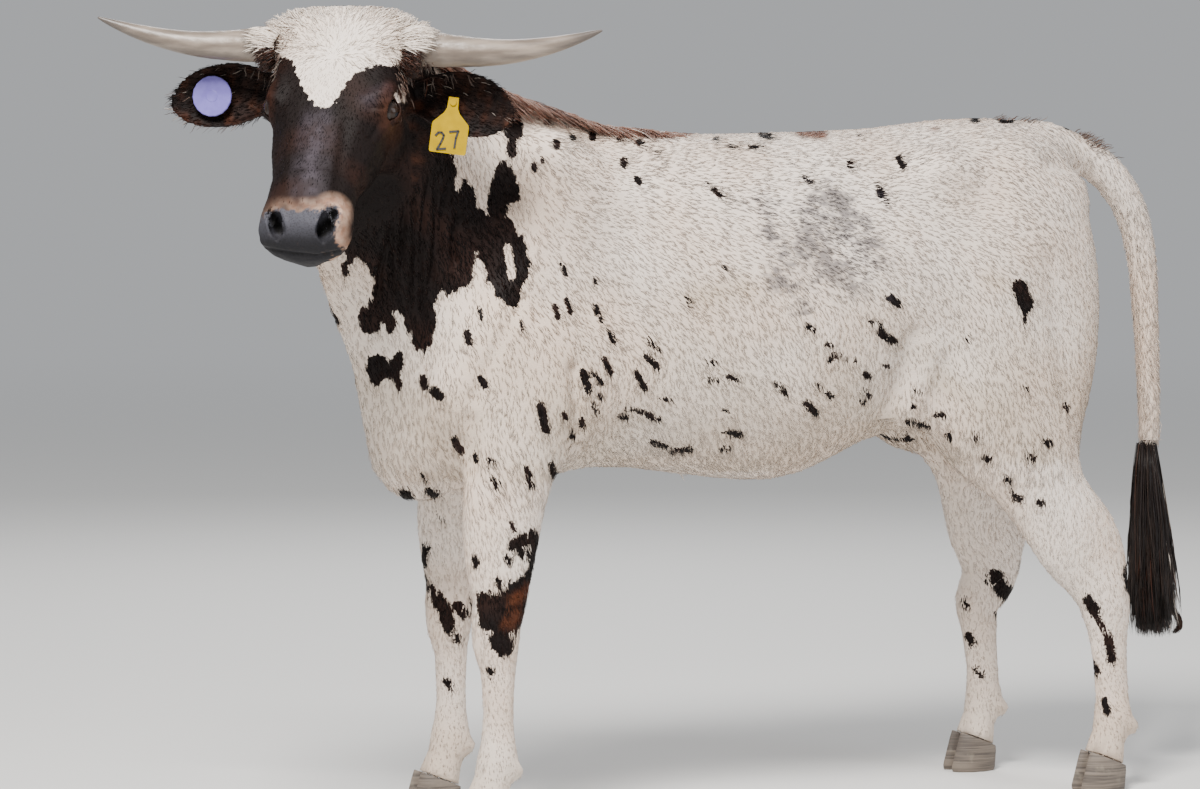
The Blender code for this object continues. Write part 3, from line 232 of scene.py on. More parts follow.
def photo_place(points):
    """Column and row in the photo, and the distance along the view."""
    ahead = (CAMERA_AIM - CAMERA_AT).normalized()
    right = ahead.cross(Vector((0, 0, 1))).normalized()
    up = right.cross(ahead)
    away = points - np.array(CAMERA_AT)
    depth = away @ np.array(ahead)
    focal = LENS / SENSOR * PHOTO_WIDTH
    column = PHOTO_WIDTH / 2 + focal * (away @ np.array(right)) / depth
    row = PHOTO_HEIGHT / 2 - focal * (away @ np.array(up)) / depth
    return column, row, depth


def to_camera(points, normals):
    """Cosine between the surface and the direction of the photo's camera."""
    way = np.array(CAMERA_AT) - points
    way /= np.linalg.norm(way, axis=1)[:, None]
    return (way * normals).sum(1)


def beyond_cut(points):
    """Distance past the cut between neck and head, positive on the head."""
    point, facing = HEAD_CUT
    facing = np.array(facing) / np.linalg.norm(facing)
    return (points - np.array(point)) @ facing


def outline_depth(u, v, outline):
    """Distance inside an outline in pixels, negative outside it."""
    nearest = np.full(u.shape, 1e9)
    inside = np.zeros(u.shape, bool)
    for (x0, y0), (x1, y1) in zip(outline, outline[1:] + outline[:1]):
        dx, dy = x1 - x0, y1 - y0
        t = np.clip(((u - x0) * dx + (v - y0) * dy) / (dx * dx + dy * dy), 0, 1)
        nearest = np.minimum(nearest, np.hypot(u - x0 - t * dx, v - y0 - t * dy))
        if dy:
            inside ^= ((y0 > v) != (y1 > v)) & (u < dx * (v - y0) / dy + x0)
    return np.where(inside, nearest, -nearest)


def blot_depth(u, v, blots):
    """Distance inside a set of round-ended strokes in pixels."""
    depth = np.full(u.shape, -99.0)
    for x0, y0, x1, y1, radius in blots:
        dx, dy = x1 - x0, y1 - y0
        t = np.clip(((u - x0) * dx + (v - y0) * dy) / max(dx * dx + dy * dy, 1), 0, 1)
        depth = np.maximum(depth, radius - np.hypot(u - x0 - t * dx, v - y0 - t * dy))
    return depth


def field(depth):
    """A mark's strength, a half at its edge, from its depth in pixels."""
    return np.clip(0.5 + 0.11 * depth, 0, 1)


def wave(points, size, seed):
    """Smooth pseudo-random field from -1 to 1, from a few crossed waves of one size."""
    rng = np.random.default_rng(seed)
    total = np.zeros(len(points))
    for _ in range(6):
        way = rng.normal(size=3)
        way *= 2 * math.pi / (size * rng.uniform(0.7, 1.4) * np.linalg.norm(way))
        total += np.sin(points @ way + rng.uniform(0, 6.28))
    return total / 3.0


def from_eyes(local):
    """Distance from the nearer eye for places in the head's frame."""
    folded = np.stack((local[:, 0], np.abs(local[:, 1]), local[:, 2]), axis=1)
    return np.linalg.norm(folded - np.array(EYE_AT), axis=1)


def ear_share(local):
    """How far out along an ear a place of the head lies, from 0 at its root."""
    return np.clip((np.abs(local[:, 1]) - 0.100) / 0.19, 0, 1) * (local[:, 2] < -0.035)


def markings(points, normals):
    """The coat's fields of colour at places of the skin, with painted sheen on the face, painted shade
    in the nostrils and the mouth's cleft, and darkening towards the bottom.
    """
    head = beyond_cut(points) > 0
    legs = points[:, 2] < LEG_TOP
    tail = points[:, 0] > TAIL_FRONT
    far = np.clip((points[:, 1] - MIDDLE_Y) / 0.14, 0, 1)
    mirror = (points[:, 1] > MIDDLE_Y) & ~head & ~legs & ~tail
    seen = points.copy()
    seen[mirror, 1] = 2 * MIDDLE_Y - seen[mirror, 1]
    seen[mirror, 0] += (0.07 * far)[mirror]
    seen[mirror, 2] -= (0.03 * far)[mirror]
    u, v, _ = photo_place(seen)
    near_leg = legs & (points[:, 1] < MIDDLE_Y)
    far_leg = legs & (points[:, 1] >= MIDDLE_Y)
    trunk = ~head & ~tail
    local = head_place(points)
    made = {name: np.zeros(len(points)) for name in FIELDS}

    ragged = 2.2 * wave(points, 0.013, 3) + 2.5 * wave(points, 0.045, 4)
    neck = outline_depth(u, v, NECK_DARK) + ragged
    neck = np.maximum(neck, blot_depth(u, v, NECK_BLOTS) + ragged * 0.3)
    neck = np.minimum(neck, -blot_depth(u, v, WHITE_BLOTS))
    neck = np.maximum(neck, outline_depth(u, v, STAR) + ragged * 0.4)
    spots = blot_depth(u, v, BODY_SPOTS)
    dark = np.where(trunk, np.maximum(neck, spots), -9)
    dark = np.where(tail, blot_depth(u, v, BODY_SPOTS[-2:]), dark)
    leg_ragged = 1.6 * wave(points, 0.012, 8)
    dark = np.where(near_leg, np.maximum(blot_depth(u, v, NEAR_LEG_SPOTS) + leg_ragged, spots), dark)
    dark = np.where(far_leg, np.maximum(blot_depth(u, v, FAR_LEG_SPOTS) + leg_ragged, spots), dark)
    face = -outline_depth(u, v, WHITE_POLL) + 1.5 * wave(points, 0.012, 5)
    face = np.where(local[:, 0] < -0.03, 9, face)
    face = np.where(local[:, 1] > 0, np.minimum(face, -blot_depth(u, v, EYE_HAIRS)), face)
    dark = np.where(head, face, dark)
    made["dark"] = field(dark)

    rust = blot_depth(u, v, RUST_BLOTS)
    crest = 0.019 - np.abs(points[:, 1] - nape_middle(points[:, 0]))
    crest = crest * MARK_SCALE + 2.0 * ragged
    crest = np.where((points[:, 2] > 1.10) & (points[:, 0] < 0.02), crest, -9)
    made["rust"] = np.where(trunk, field(np.maximum(rust, crest)), 0)
    knees = blot_depth(u, v, RUST_KNEES)
    made["rust"] = np.where(legs, field(knees) * 0.6, made["rust"])
    cheek = smoothstep(0.060, 0.098, np.abs(local[:, 1])) * smoothstep(0.30, 0.16, local[:, 0])
    cheek *= smoothstep(0.07, 0.13, local[:, 0]) * smoothstep(-0.17, -0.10, local[:, 2])
    behind = smoothstep(-0.02, -0.045, local[:, 0])
    made["rust"] = np.where(head, np.maximum(cheek * 0.36, behind * 0.55), made["rust"])

    roan_and_painted_sheen = outline_depth(u, v, ROAN) * 0.03 + 0.35 * wave(points, 0.05, 6)
    made["roan_and_painted_sheen"] = np.where(trunk & ~legs, np.clip(0.55 + roan_and_painted_sheen, 0, 1), 0)
    # On the head this field holds painted sheen in place of roan: a painted reflection down the nose and
    # a painted highlight on the brow
    sheen = np.clip(0.5 + 0.05 * blot_depth(u, v, FACE_SHEEN), 0, 1)
    made["roan_and_painted_sheen"] = np.where(head, sheen, made["roan_and_painted_sheen"])
    facing = to_camera(points, normals) > 0.05
    muzzle = np.where(facing, outline_depth(u, v, MUZZLE), (local[:, 0] - 0.392) * MARK_SCALE)
    inside = np.where(local[:, 0] > 0.30, blot_depth(u, v, NOSTRILS) + 3, -9)
    muzzle = np.maximum(muzzle, inside)
    made["slate"] = np.where(head, field(muzzle), 0)
    # Painted shade in the nostrils and the mouth's cleft, and the muzzle darkening towards its lowest
    # rows
    nose = head & (local[:, 0] > 0.28) & (local[:, 2] > -0.20)
    lower = 0.80 * smoothstep(*MUZZLE_ROWS, v) * (muzzle > 0)
    made["hollow"] = np.where(nose, np.maximum(field(2 * blot_depth(u, v, HOLE_SHADE_STROKES)), lower), 0)
    ring = (local[:, 0] > 0.30) & head
    over = np.clip(0.5 + 0.07 * (muzzle + 7), 0, 1)
    side = 0.15 + 0.85 * smoothstep(-0.03, 0.05, local[:, 1])
    above = smoothstep(-0.03, 0.0, local[:, 2]) * (0.55 + 0.25 * wave(points, 0.022, 16))
    made["tan"] = np.where(ring, over * np.clip(np.maximum(side, above), 0, 1), 0)
    made["stain_and_low_darkening"] = np.where(trunk, np.clip(0.5 + 0.05 * blot_depth(u, v, STAINS), 0, 1), 0)
    # Beige darkening towards the bottom of the trunk, and of the legs towards the feet, added to the
    # stains
    low = smoothstep(1.02, 0.62, points[:, 2]) * (0.55 + 0.25 * wave(points, 0.16, 15))
    made["stain_and_low_darkening"] = np.where(trunk, np.maximum(made["stain_and_low_darkening"], low), made["stain_and_low_darkening"])
    made["stain_and_low_darkening"] = np.where(legs, smoothstep(0.25, 0.05, points[:, 2]) * 0.5, made["stain_and_low_darkening"])
    ears = (ear_share(local) > 0) & head
    made["rust"] = np.where(ears, 0.22 + 0.15 * wave(points, 0.03, 9), made["rust"])
    return made


def nape_middle(x):
    """The y of the middle of the neck's upper edge, which bends to her left toward the head."""
    bend = np.clip((-0.2745 - x) / 0.36, 0, 1) ** 1.2
    return MIDDLE_Y - 0.118 * bend


def set_fields(mesh, values):
    """Stores each field as a number on every vertex."""
    for name, array in values.items():
        attribute = mesh.attributes.new(name, "FLOAT", "POINT")
        attribute.data.foreach_set("value", array.astype(np.float32))


def points_of(mesh):
    """Every vertex as a row of x, y and z."""
    found = np.empty(len(mesh.vertices) * 3, np.float32)
    mesh.vertices.foreach_get("co", found)
    return found.reshape(-1, 3).astype(float)


def normals_of(mesh):
    """Every vertex's normal as a row."""
    found = np.empty(len(mesh.vertices) * 3, np.float32)
    mesh.vertex_normals.foreach_get("vector", found)
    return found.reshape(-1, 3).astype(float)


def put_points(mesh, points):
    """Moves every vertex to its row."""
    mesh.vertices.foreach_set("co", points.astype(np.float32).ravel())
    mesh.update()


def mesh_from(bm, name):
    """Turns a bmesh into a mesh and frees it."""
    mesh = bpy.data.meshes.new(name)
    bm.to_mesh(mesh)
    bm.free()
    return mesh


def cover(mesh, surface):
    """Gives the whole mesh one material."""
    mesh.materials.clear()
    mesh.materials.append(bpy.data.materials[surface])


def linked(mesh, name):
    """A new object in the scene, at the origin."""
    made = bpy.data.objects.new(name, mesh)
    bpy.context.scene.collection.objects.link(made)
    return made


def hand_over(piece, replaced):
    """Says what a piece rides on, which nodes it replaces."""
    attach(piece, "root")
    if replaced:
        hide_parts(*replaced)


def new_piece(mesh, name, replaced):
    """Links a mesh as a piece and says what it stands for."""
    hand_over(linked(mesh, name), replaced)


def evaluated_mesh(piece):
    """The mesh that a piece's modifiers make."""
    bpy.context.view_layer.update()
    shown = piece.evaluated_get(bpy.context.evaluated_depsgraph_get())
    return bpy.data.meshes.new_from_object(shown)


def merged_copy(name):
    """A solid's triangles, joined along their edges."""
    bm = bmesh.new()
    bm.from_mesh(NODES[name].data)
    bmesh.ops.remove_doubles(bm, verts=bm.verts, dist=0.00005)
    return bm


def flesh_mesh():
    """Every solid of flesh in one mesh, with the fringe's locks pressed down to the nape."""
    whole = bmesh.new()
    for name in FLESH:
        part = merged_copy(name)
        if name in ("neck", "torso"):
            heights = np.interp([v.co.x for v in part.verts], *zip(*NAPE))
            for vert, height in zip(part.verts, heights):
                aside = abs(vert.co.y - nape_middle(vert.co.x))
                if aside < 0.045 and -0.56 < vert.co.x < 0.10:
                    vert.co.z = min(vert.co.z, height - 6 * aside * aside)
        mesh = mesh_from(part, "part")
        whole.from_mesh(mesh)
        bpy.data.meshes.remove(mesh)
    return mesh_from(whole, "flesh")


def with_group(piece, name, weights):
    """Stores weights in a vertex group, in steps of a fortieth."""
    group = piece.vertex_groups.new(name=name)
    steps = np.clip((weights * 40).round().astype(int), 0, 40)
    for step in np.unique(steps):
        if step:
            group.add(np.flatnonzero(steps == step).tolist(), step / 40, "REPLACE")


def finish_shape(piece):
    """Replaces a piece's mesh by the one its modifiers make."""
    mesh = evaluated_mesh(piece)
    piece.modifiers.clear()
    old = piece.data
    piece.data = mesh
    bpy.data.meshes.remove(old)


def smoothing_weights(points):
    """How much each place is smoothed: the trunk most, the face, ears and feet least."""
    local = head_place(points)
    past = beyond_cut(points)
    weight = np.full(len(points), 1.0)
    weight = np.minimum(weight, 0.06 + 0.94 * smoothstep(0.56, 0.72, points[:, 2]))
    weight = np.minimum(weight, 0.10 + 0.90 * smoothstep(0.86, 0.76, points[:, 0]))
    weight = np.minimum(weight, 0.05 + 0.95 * smoothstep(0.02, -0.07, past))
    features = smoothstep(0.27, 0.36, local[:, 0])
    features = np.maximum(features, smoothstep(0.050, 0.030, from_eyes(local)))
    on_head = past > 0
    weight = np.where(on_head & (features > 0), weight * (1 - 0.86 * features), weight)
    ears = on_head & (np.abs(local[:, 1]) > 0.104) & (local[:, 2] < -0.03)
    return np.where(ears, 0.008, weight)


def detail_weights(points):
    """How strongly thinning spares a place: the head, ears and neck keep fine faces."""
    past = beyond_cut(points)
    local = head_place(points)
    weight = 0.12 + 0.30 * smoothstep(-0.30, -0.05, past) + 0.40 * smoothstep(-0.01, 0.03, past)
    front = (past > 0) & (local[:, 0] > 0.30)
    weight = np.where(front | (from_eyes(local) < 0.045), 1.0, weight)
    return np.clip(weight, 0, 1)


def nose_depth(points, normals):
    """Nostrils and the cleft of the mouth, pressed into the muzzle."""
    u, v, _ = photo_place(points)
    facing = smoothstep(0.0, 0.35, to_camera(points, normals))
    front = (head_place(points)[:, 0] > 0.30) * (beyond_cut(points) > 0) * facing
    nostril = np.clip(0.5 + 0.16 * blot_depth(u, v, NOSTRILS), 0, 1)
    rim = np.exp(-((blot_depth(u, v, NOSTRILS) + 3.0) / 2.2) ** 2)
    lips = np.exp(-(np.minimum(blot_depth(u, v, LIPS) - 2.2, 0) / 1.8) ** 2)
    return front * (0.0085 * nostril - 0.0016 * rim + 0.0032 * lips)


def face_height(points, normals):
    """Brows, sockets, cheek ridges and the bridge of the nose."""
    u, v, _ = photo_place(points)
    facing = smoothstep(0.05, 0.4, to_camera(points, normals)) * (beyond_cut(points) > 0.0)
    height = np.zeros(len(points))
    for x0, y0, x1, y1, reach, rise in FACE_FORMS:
        away = -blot_depth(u, v, ((x0, y0, x1, y1, 0),))
        height += 0.001 * rise * np.exp(-(away / reach) ** 2)
    return height * facing * (ear_share(head_place(points)) <= 0)


def form_height(points, normals):
    """Bones and muscles of the trunk, the same on both sides."""
    seen = points.copy()
    seen[:, 1] = np.minimum(seen[:, 1], 2 * MIDDLE_Y - seen[:, 1])
    u, v, _ = photo_place(seen)
    height = np.zeros(len(points))
    for x0, y0, x1, y1, reach, rise in FORMS:
        away = -blot_depth(u, v, ((x0, y0, x1, y1, 0),))
        height += 0.001 * rise * np.exp(-(away / reach) ** 2)
    sideways = smoothstep(0.15, 0.6, np.abs(normals[:, 1]))
    on_trunk = (beyond_cut(points) < -0.02) * smoothstep(0.57, 0.64, points[:, 2])
    return height * sideways * on_trunk * (points[:, 0] < 0.86)


def fold_depth(points, normals):
    """Vertical folds of the neck's loose skin, and those of the breast and elbow."""
    u, v, _ = photo_place(points)
    facing = smoothstep(0.10, 0.5, to_camera(points, normals))
    on_neck = smoothstep(0.0, -0.02, beyond_cut(points)) * facing
    depth = np.zeros(len(points))
    for lines, deep, wide in ((FOLDS, 0.0095, 3.6), (BREAST_FOLDS, 0.004, 5.0)):
        for x0, y0, x1, y1 in lines:
            dx, dy = x1 - x0, y1 - y0
            along = np.clip(((u - x0) * dx + (v - y0) * dy) / (dx * dx + dy * dy), 0, 1)
            bend = 3.0 * np.sin(along * 5 + x0)
            across = np.hypot(u - x0 - along * dx - bend, v - y0 - along * dy)
            ends = smoothstep(0, 0.2, along) * smoothstep(1.0, 0.75, along)
            depth = np.maximum(depth, deep * np.exp(-(across / wide) ** 2) * ends)
    return depth * on_neck


def make_skin(settings):
    """One closed skin for head, ears, neck, trunk, legs and tail."""
    skin = linked(flesh_mesh(), "skin")
    remesh = skin.modifiers.new("one surface", "REMESH")
    remesh.mode = "VOXEL"
    remesh.voxel_size = SKIN_VOXEL
    finish_shape(skin)
    with_group(skin, "soft", smoothing_weights(points_of(skin.data)))
    smooth = skin.modifiers.new("smooth", "SMOOTH")
    smooth.vertex_group = "soft"
    smooth.factor = 0.5
    smooth.iterations = settings.smoothing
    finish_shape(skin)
    skin.vertex_groups.clear()
    with_group(skin, "detail", detail_weights(points_of(skin.data)))
    thin = skin.modifiers.new("thin", "DECIMATE")
    thin.ratio = settings.skin_share
    thin.vertex_group = "detail"
    thin.invert_vertex_group = True
    thin.vertex_group_factor = 1.0
    finish_shape(skin)
    skin.vertex_groups.clear()
    keep_largest(skin.data)
    points, normals = points_of(skin.data), normals_of(skin.data)
    past = beyond_cut(points)
    local = head_place(points)
    inset = settings.coat_depth * (0.35 + 0.65 * smoothstep(0.0, -0.05, past))
    inset *= 0.4 + 0.6 * smoothstep(0.45, 0.65, points[:, 2])
    inset = np.where((past > 0) & ((ear_share(local) > 0) | (local[:, 0] > 0.3)), 0, inset)
    inset += fold_depth(points, normals) + nose_depth(points, normals)
    inset -= form_height(points, normals) + face_height(points, normals)
    put_points(skin.data, points - normals * inset[:, None])
    points, normals = points_of(skin.data), normals_of(skin.data)
    values = markings(points, normals)
    values["shade"] = 0.5 + 0.5 * wave(points, 0.11, 12)
    set_fields(skin.data, values)
    skin.data.shade_smooth()
    hand_over(skin, FLESH)
    return skin


def keep_largest(mesh):
    """Drops loose scraps and sealed hollows from a closed mesh."""
    bm = bmesh.new()
    bm.from_mesh(mesh)
    bm.verts.ensure_lookup_table()
    seen = set()
    groups = []
    for start in bm.verts:
        if start.index in seen:
            continue
        seen.add(start.index)
        group, queue = [start], [start]
        while queue:
            for edge in queue.pop().link_edges:
                for vert in edge.verts:
                    if vert.index not in seen:
                        seen.add(vert.index)
                        group.append(vert)
                        queue.append(vert)
        groups.append(group)
    groups.sort(key=len)
    loose = [vert for group in groups[:-1] for vert in group]
    if loose:
        bmesh.ops.delete(bm, geom=loose, context="VERTS")
        bm.to_mesh(mesh)
    bm.free()


# Short coat

def lie(points, normals):
    """Unit direction in which the hair lies, along the skin."""
    local = head_place(points)
    past = beyond_cut(points)
    turn = np.array(head_turn())
    high = smoothstep(0.72, 1.12, points[:, 2])
    flow = np.stack((0.35 + 0.65 * high, np.zeros(len(points)), -0.95 + 0.75 * high), axis=1)
    rump = smoothstep(0.45, 0.75, points[:, 0])[:, None]
    flow = flow * (1 - rump) + rump * np.array((0.35, 0, -0.9))
    neck = smoothstep(-0.20, -0.42, points[:, 0])[:, None]
    flow = flow * (1 - neck) + neck * np.array((0.30, 0, -0.95))
    leg = smoothstep(0.66, 0.56, points[:, 2])[:, None]
    flow = flow * (1 - leg) + leg * np.array((0.15, 0, -1.0))
    tail = smoothstep(0.83, 0.87, points[:, 0])[:, None]
    flow = flow * (1 - tail) + tail * np.array((0.25, 0, -1.0))
    flow[:, 0] += 0.22 * wave(points, 0.22, 21)
    flow[:, 2] += 0.15 * wave(points, 0.17, 22)
    whorl = local - np.array((0.085, 0.0, 0.0))
    whorl[:, 2] = 0
    reach = np.linalg.norm(whorl, axis=1)[:, None]
    radial = whorl / np.maximum(reach, 1e-5)
    side = np.sign(local[:, 1])
    spread = 0.7 * side * smoothstep(0.02, 0.10, np.abs(local[:, 1]))
    down_face = np.stack((np.full(len(points), 1.0), spread, np.full(len(points), -0.2)), axis=1)
    share = smoothstep(0.02, 0.17, local[:, 0])[:, None]
    over_head = (radial * (1 - share) + down_face * share) @ turn.T
    outward = np.stack((np.full(len(points), 0.10), side, np.full(len(points), -0.10)), axis=1) @ turn.T
    is_ear = (ear_share(local) > 0)[:, None]
    over_head = np.where(is_ear, outward, over_head)
    flow = np.where((past > 0)[:, None], over_head, flow)
    flow -= normals * (flow * normals).sum(1)[:, None]
    return flow / np.maximum(np.linalg.norm(flow, axis=1), 1e-6)[:, None]


def surface_samples(mesh, wanted, rng):
    """Random places on a mesh, as many to a square metre as a function of place asks."""
    mesh.calc_loop_triangles()
    corners = np.empty(len(mesh.loop_triangles) * 3, np.int32)
    mesh.loop_triangles.foreach_get("vertices", corners)
    corners = corners.reshape(-1, 3)
    points, normals = points_of(mesh), normals_of(mesh)
    a, b, c = (points[corners[:, k]] for k in range(3))
    area = np.linalg.norm(np.cross(b - a, c - a), axis=1) / 2
    middle = (a + b + c) / 3
    facing = normals[corners].mean(1)
    count = area * wanted(middle, facing)
    whole = np.floor(count + rng.random(len(count))).astype(int)
    face = np.repeat(np.arange(len(corners)), whole)
    r, s = np.sqrt(rng.random(len(face))), rng.random(len(face))
    share = np.stack((1 - r, r * (1 - s), r * s), axis=1)[:, :, None]
    place = (points[corners[face]] * share).sum(1)
    normal = (normals[corners[face]] * share).sum(1)
    return place, normal / np.linalg.norm(normal, axis=1)[:, None]


TUFT_THICKNESS, LOCK_THICKNESS = 0.16, 0.35   # as shares of a lock's width


def unwrap(points):
    """The skin's own unwrap: round the trunk, the head, each leg and the tail, one strip each."""
    local = head_place(points)
    head = beyond_cut(points) > 0
    legs = (points[:, 2] < LEG_TOP) & ~head
    tail = (points[:, 0] > TAIL_FRONT) & ~head
    turn = np.arctan2(points[:, 1] - MIDDLE_Y, points[:, 2] - 0.85) / (2 * math.pi) + 0.5
    u = 0.02 + 0.46 * (points[:, 0] + 0.70) / 1.6
    v = 0.02 + 0.56 * turn
    face_turn = np.arctan2(local[:, 1], local[:, 2] + 0.08) / (2 * math.pi) + 0.5
    reach = np.linalg.norm(local[:, 1:] + np.array((0, 0.08)), axis=1)
    u = np.where(head, 0.52 + 0.46 * face_turn, u)
    v = np.where(head, 0.02 + 0.50 * (local[:, 0] + 0.06) / 0.5 + 0.1 * reach, v)
    for k, name in enumerate(LEGS):
        low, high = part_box(name)
        centre = (low + high) / 2
        mine = legs & ((points[:, 0] > 0.2) == name.startswith("hind"))
        mine &= (points[:, 1] > MIDDLE_Y) == name.endswith("right")
        around = np.arctan2(points[:, 1] - centre.y, points[:, 0] - centre.x) / (2 * math.pi) + 0.5
        u = np.where(mine, 0.02 + 0.19 * k + 0.17 * around, u)
        v = np.where(mine, 0.64 + 0.34 * points[:, 2] / 0.6, v)
    around = np.arctan2(points[:, 1] - MIDDLE_Y, points[:, 0] - 0.94) / (2 * math.pi) + 0.5
    u = np.where(tail, 0.80 + 0.18 * around, u)
    v = np.where(tail, 0.64 + 0.34 * points[:, 2] / 1.2, v)
    return np.stack((u, v), axis=1)


def locks_mesh(name, paths, across, widths, thickness):
    """Closed three-sided locks along paths; the last point of each path is its tip."""
    count, stations = paths.shape[0], paths.shape[1]
    ahead = np.gradient(paths, axis=1)
    up = np.cross(across[:, None, :], ahead)
    up /= np.maximum(np.linalg.norm(up, axis=2), 1e-9)[:, :, None]
    half = widths[:, :, None] * across[:, None, :] / 2
    rise = widths[:, :, None] * up * thickness
    ring = np.stack((paths - half, paths + half, paths + rise), axis=2)[:, :-1]
    body = ring.reshape(count, -1, 3)
    verts = np.concatenate((body, paths[:, -1:]), axis=1)
    per = verts.shape[1]
    faces = [(0, 2, 1)]
    for k in range(stations - 2):
        for i in range(3):
            j = (i + 1) % 3
            low, high = 3 * k, 3 * k + 3
            faces += [(low + i, low + j, high + j), (low + i, high + j, high + i)]
    last = 3 * (stations - 2)
    faces += [(last + i, last + (i + 1) % 3, per - 1) for i in range(3)]
    faces = np.array(faces)
    all_faces = (faces[None] + (np.arange(count) * per)[:, None, None]).reshape(-1, 3)
    mesh = bpy.data.meshes.new(name)
    mesh.vertices.add(count * per)
    mesh.vertices.foreach_set("co", verts.astype(np.float32).ravel())
    mesh.loops.add(len(all_faces) * 3)
    mesh.loops.foreach_set("vertex_index", all_faces.astype(np.int32).ravel())
    mesh.polygons.add(len(all_faces))
    mesh.polygons.foreach_set("loop_start", np.arange(0, len(all_faces) * 3, 3, dtype=np.int32))
    mesh.update(calc_edges=True)
    spot = np.zeros((per, 2))
    spot[:-1, 0] = np.tile((-0.0015, 0.0015, 0.0), stations - 1)
    spot[:-1, 1] = np.repeat(np.linspace(-0.0015, 0.001, stations - 1), 3)
    spot[-1] = (0.0, 0.0015)
    corner_uv = (unwrap(paths[:, 0])[:, None, :] + spot[None]).reshape(-1, 2)[all_faces.ravel()]
    layer = mesh.uv_layers.new(name="OFBake")
    layer.data.foreach_set("uv", corner_uv.astype(np.float32).ravel())
    mesh.shade_smooth()
    return mesh, per


def coat_piece(name, paths, across, widths, thickness, values, surface, replaced=()):
    """Locks as one piece, with each lock's fields on all of its vertices."""
    mesh, per = locks_mesh(name, paths, across, widths, thickness)
    set_fields(mesh, {key: np.repeat(array, per) for key, array in values.items()})
    cover(mesh, surface)
    new_piece(mesh, name, replaced)


def short_tufts(name, area, per_metre, length, width, lift, settings, seed, rag=0.14):
    """Tufts of one region: they lie back along the skin and stand up a little at the tip."""
    rng = np.random.default_rng(seed)
    skin = bpy.data.objects["skin"]

    def wanted(points, normals):
        share = area(points, normals)
        small = (markings(points, normals)["dark"] > 0.2) & (beyond_cut(points) < 0)
        return per_metre * share * (1 + 1.1 * small) * settings.density

    place, normal = surface_samples(skin.data, wanted, rng)
    flow = lie(place, normal)
    across = np.cross(normal, flow)
    flow = flow + across * rng.normal(0, rag, len(place))[:, None]
    flow /= np.linalg.norm(flow, axis=1)[:, None]
    across = np.cross(normal, flow)
    across += normal * rng.normal(0, 0.25, len(place))[:, None]
    across /= np.linalg.norm(across, axis=1)[:, None]
    reach = length(place) * rng.uniform(0.7, 1.25, len(place))
    rise = lift * rng.uniform(0.4, 1.6, len(place))
    start = place - normal * 0.0007
    bend = across * (rng.normal(0, 0.10, len(place)) * reach)[:, None]
    middle = place + flow * (reach * 0.5)[:, None] + normal * (reach * rise * 0.75)[:, None] + bend
    tip = place + flow * reach[:, None] + normal * (reach * rise * 0.9)[:, None]
    paths = np.stack((start, middle, tip), axis=1)
    paths[:, :, 2] = np.minimum(paths[:, :, 2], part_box("head")[1].z - 0.0015)
    wide = width * rng.uniform(0.7, 1.3, len(place))
    widths = np.stack((wide * 0.55, wide, wide * 0), axis=1)
    values = markings(place + flow * (reach * 0.5)[:, None], normal)
    clump = 0.5 + 0.35 * wave(place, 0.030, 13) + 0.25 * wave(place, 0.009, 14)
    values["shade"] = np.clip(0.45 * rng.random(len(place)) + 0.55 * clump, 0, 1)
    coat_piece(name, paths, across, widths, TUFT_THICKNESS, values, "short fur")


def on_region(low_x, high_x, side=0, low_z=-1.0, high_z=9.0):
    """Marks one part of trunk, neck, legs or tail by its bounds, off the head."""
    def chosen(points, _):
        mine = (points[:, 0] >= low_x) & (points[:, 0] < high_x) & (beyond_cut(points) <= 0.004)
        mine &= (points[:, 2] >= low_z) & (points[:, 2] < high_z)
        if side:
            mine &= (points[:, 1] - MIDDLE_Y) * side >= 0
        return mine * 1.0
    return chosen


def on_face(points, _):
    """The head without its ears, thinner toward the muzzle and bare on it and the lids."""
    local = head_place(points)
    mine = (beyond_cut(points) > 0.002) & (ear_share(local) <= 0)
    share = mine * (1 - smoothstep(0.30, 0.345, local[:, 0]) * 0.9)
    share = share * smoothstep(0.024, 0.032, from_eyes(local))
    return share * (local[:, 0] < 0.385)


def on_ears(points, _):
    """Marks the ears."""
    local = head_place(points)
    return (beyond_cut(points) > 0) * (ear_share(local) > 0) * 1.0


def evenly(value):
    """The same length for every tuft."""
    return lambda points: np.full(len(points), value)


def body_length(points):
    """Tufts of the trunk and neck, longest low on the belly and breast."""
    low = smoothstep(0.72, 0.58, points[:, 2])
    return 0.0155 + 0.006 * low


def leg_length(points):
    """Tufts of the legs, shortest over the feet."""
    return 0.008 + 0.006 * smoothstep(0.10, 0.55, points[:, 2])


def face_length(points):
    """Tufts of the face, longest toward the poll."""
    local = head_place(points)
    return 0.0075 + 0.006 * smoothstep(0.12, 0.0, local[:, 0])


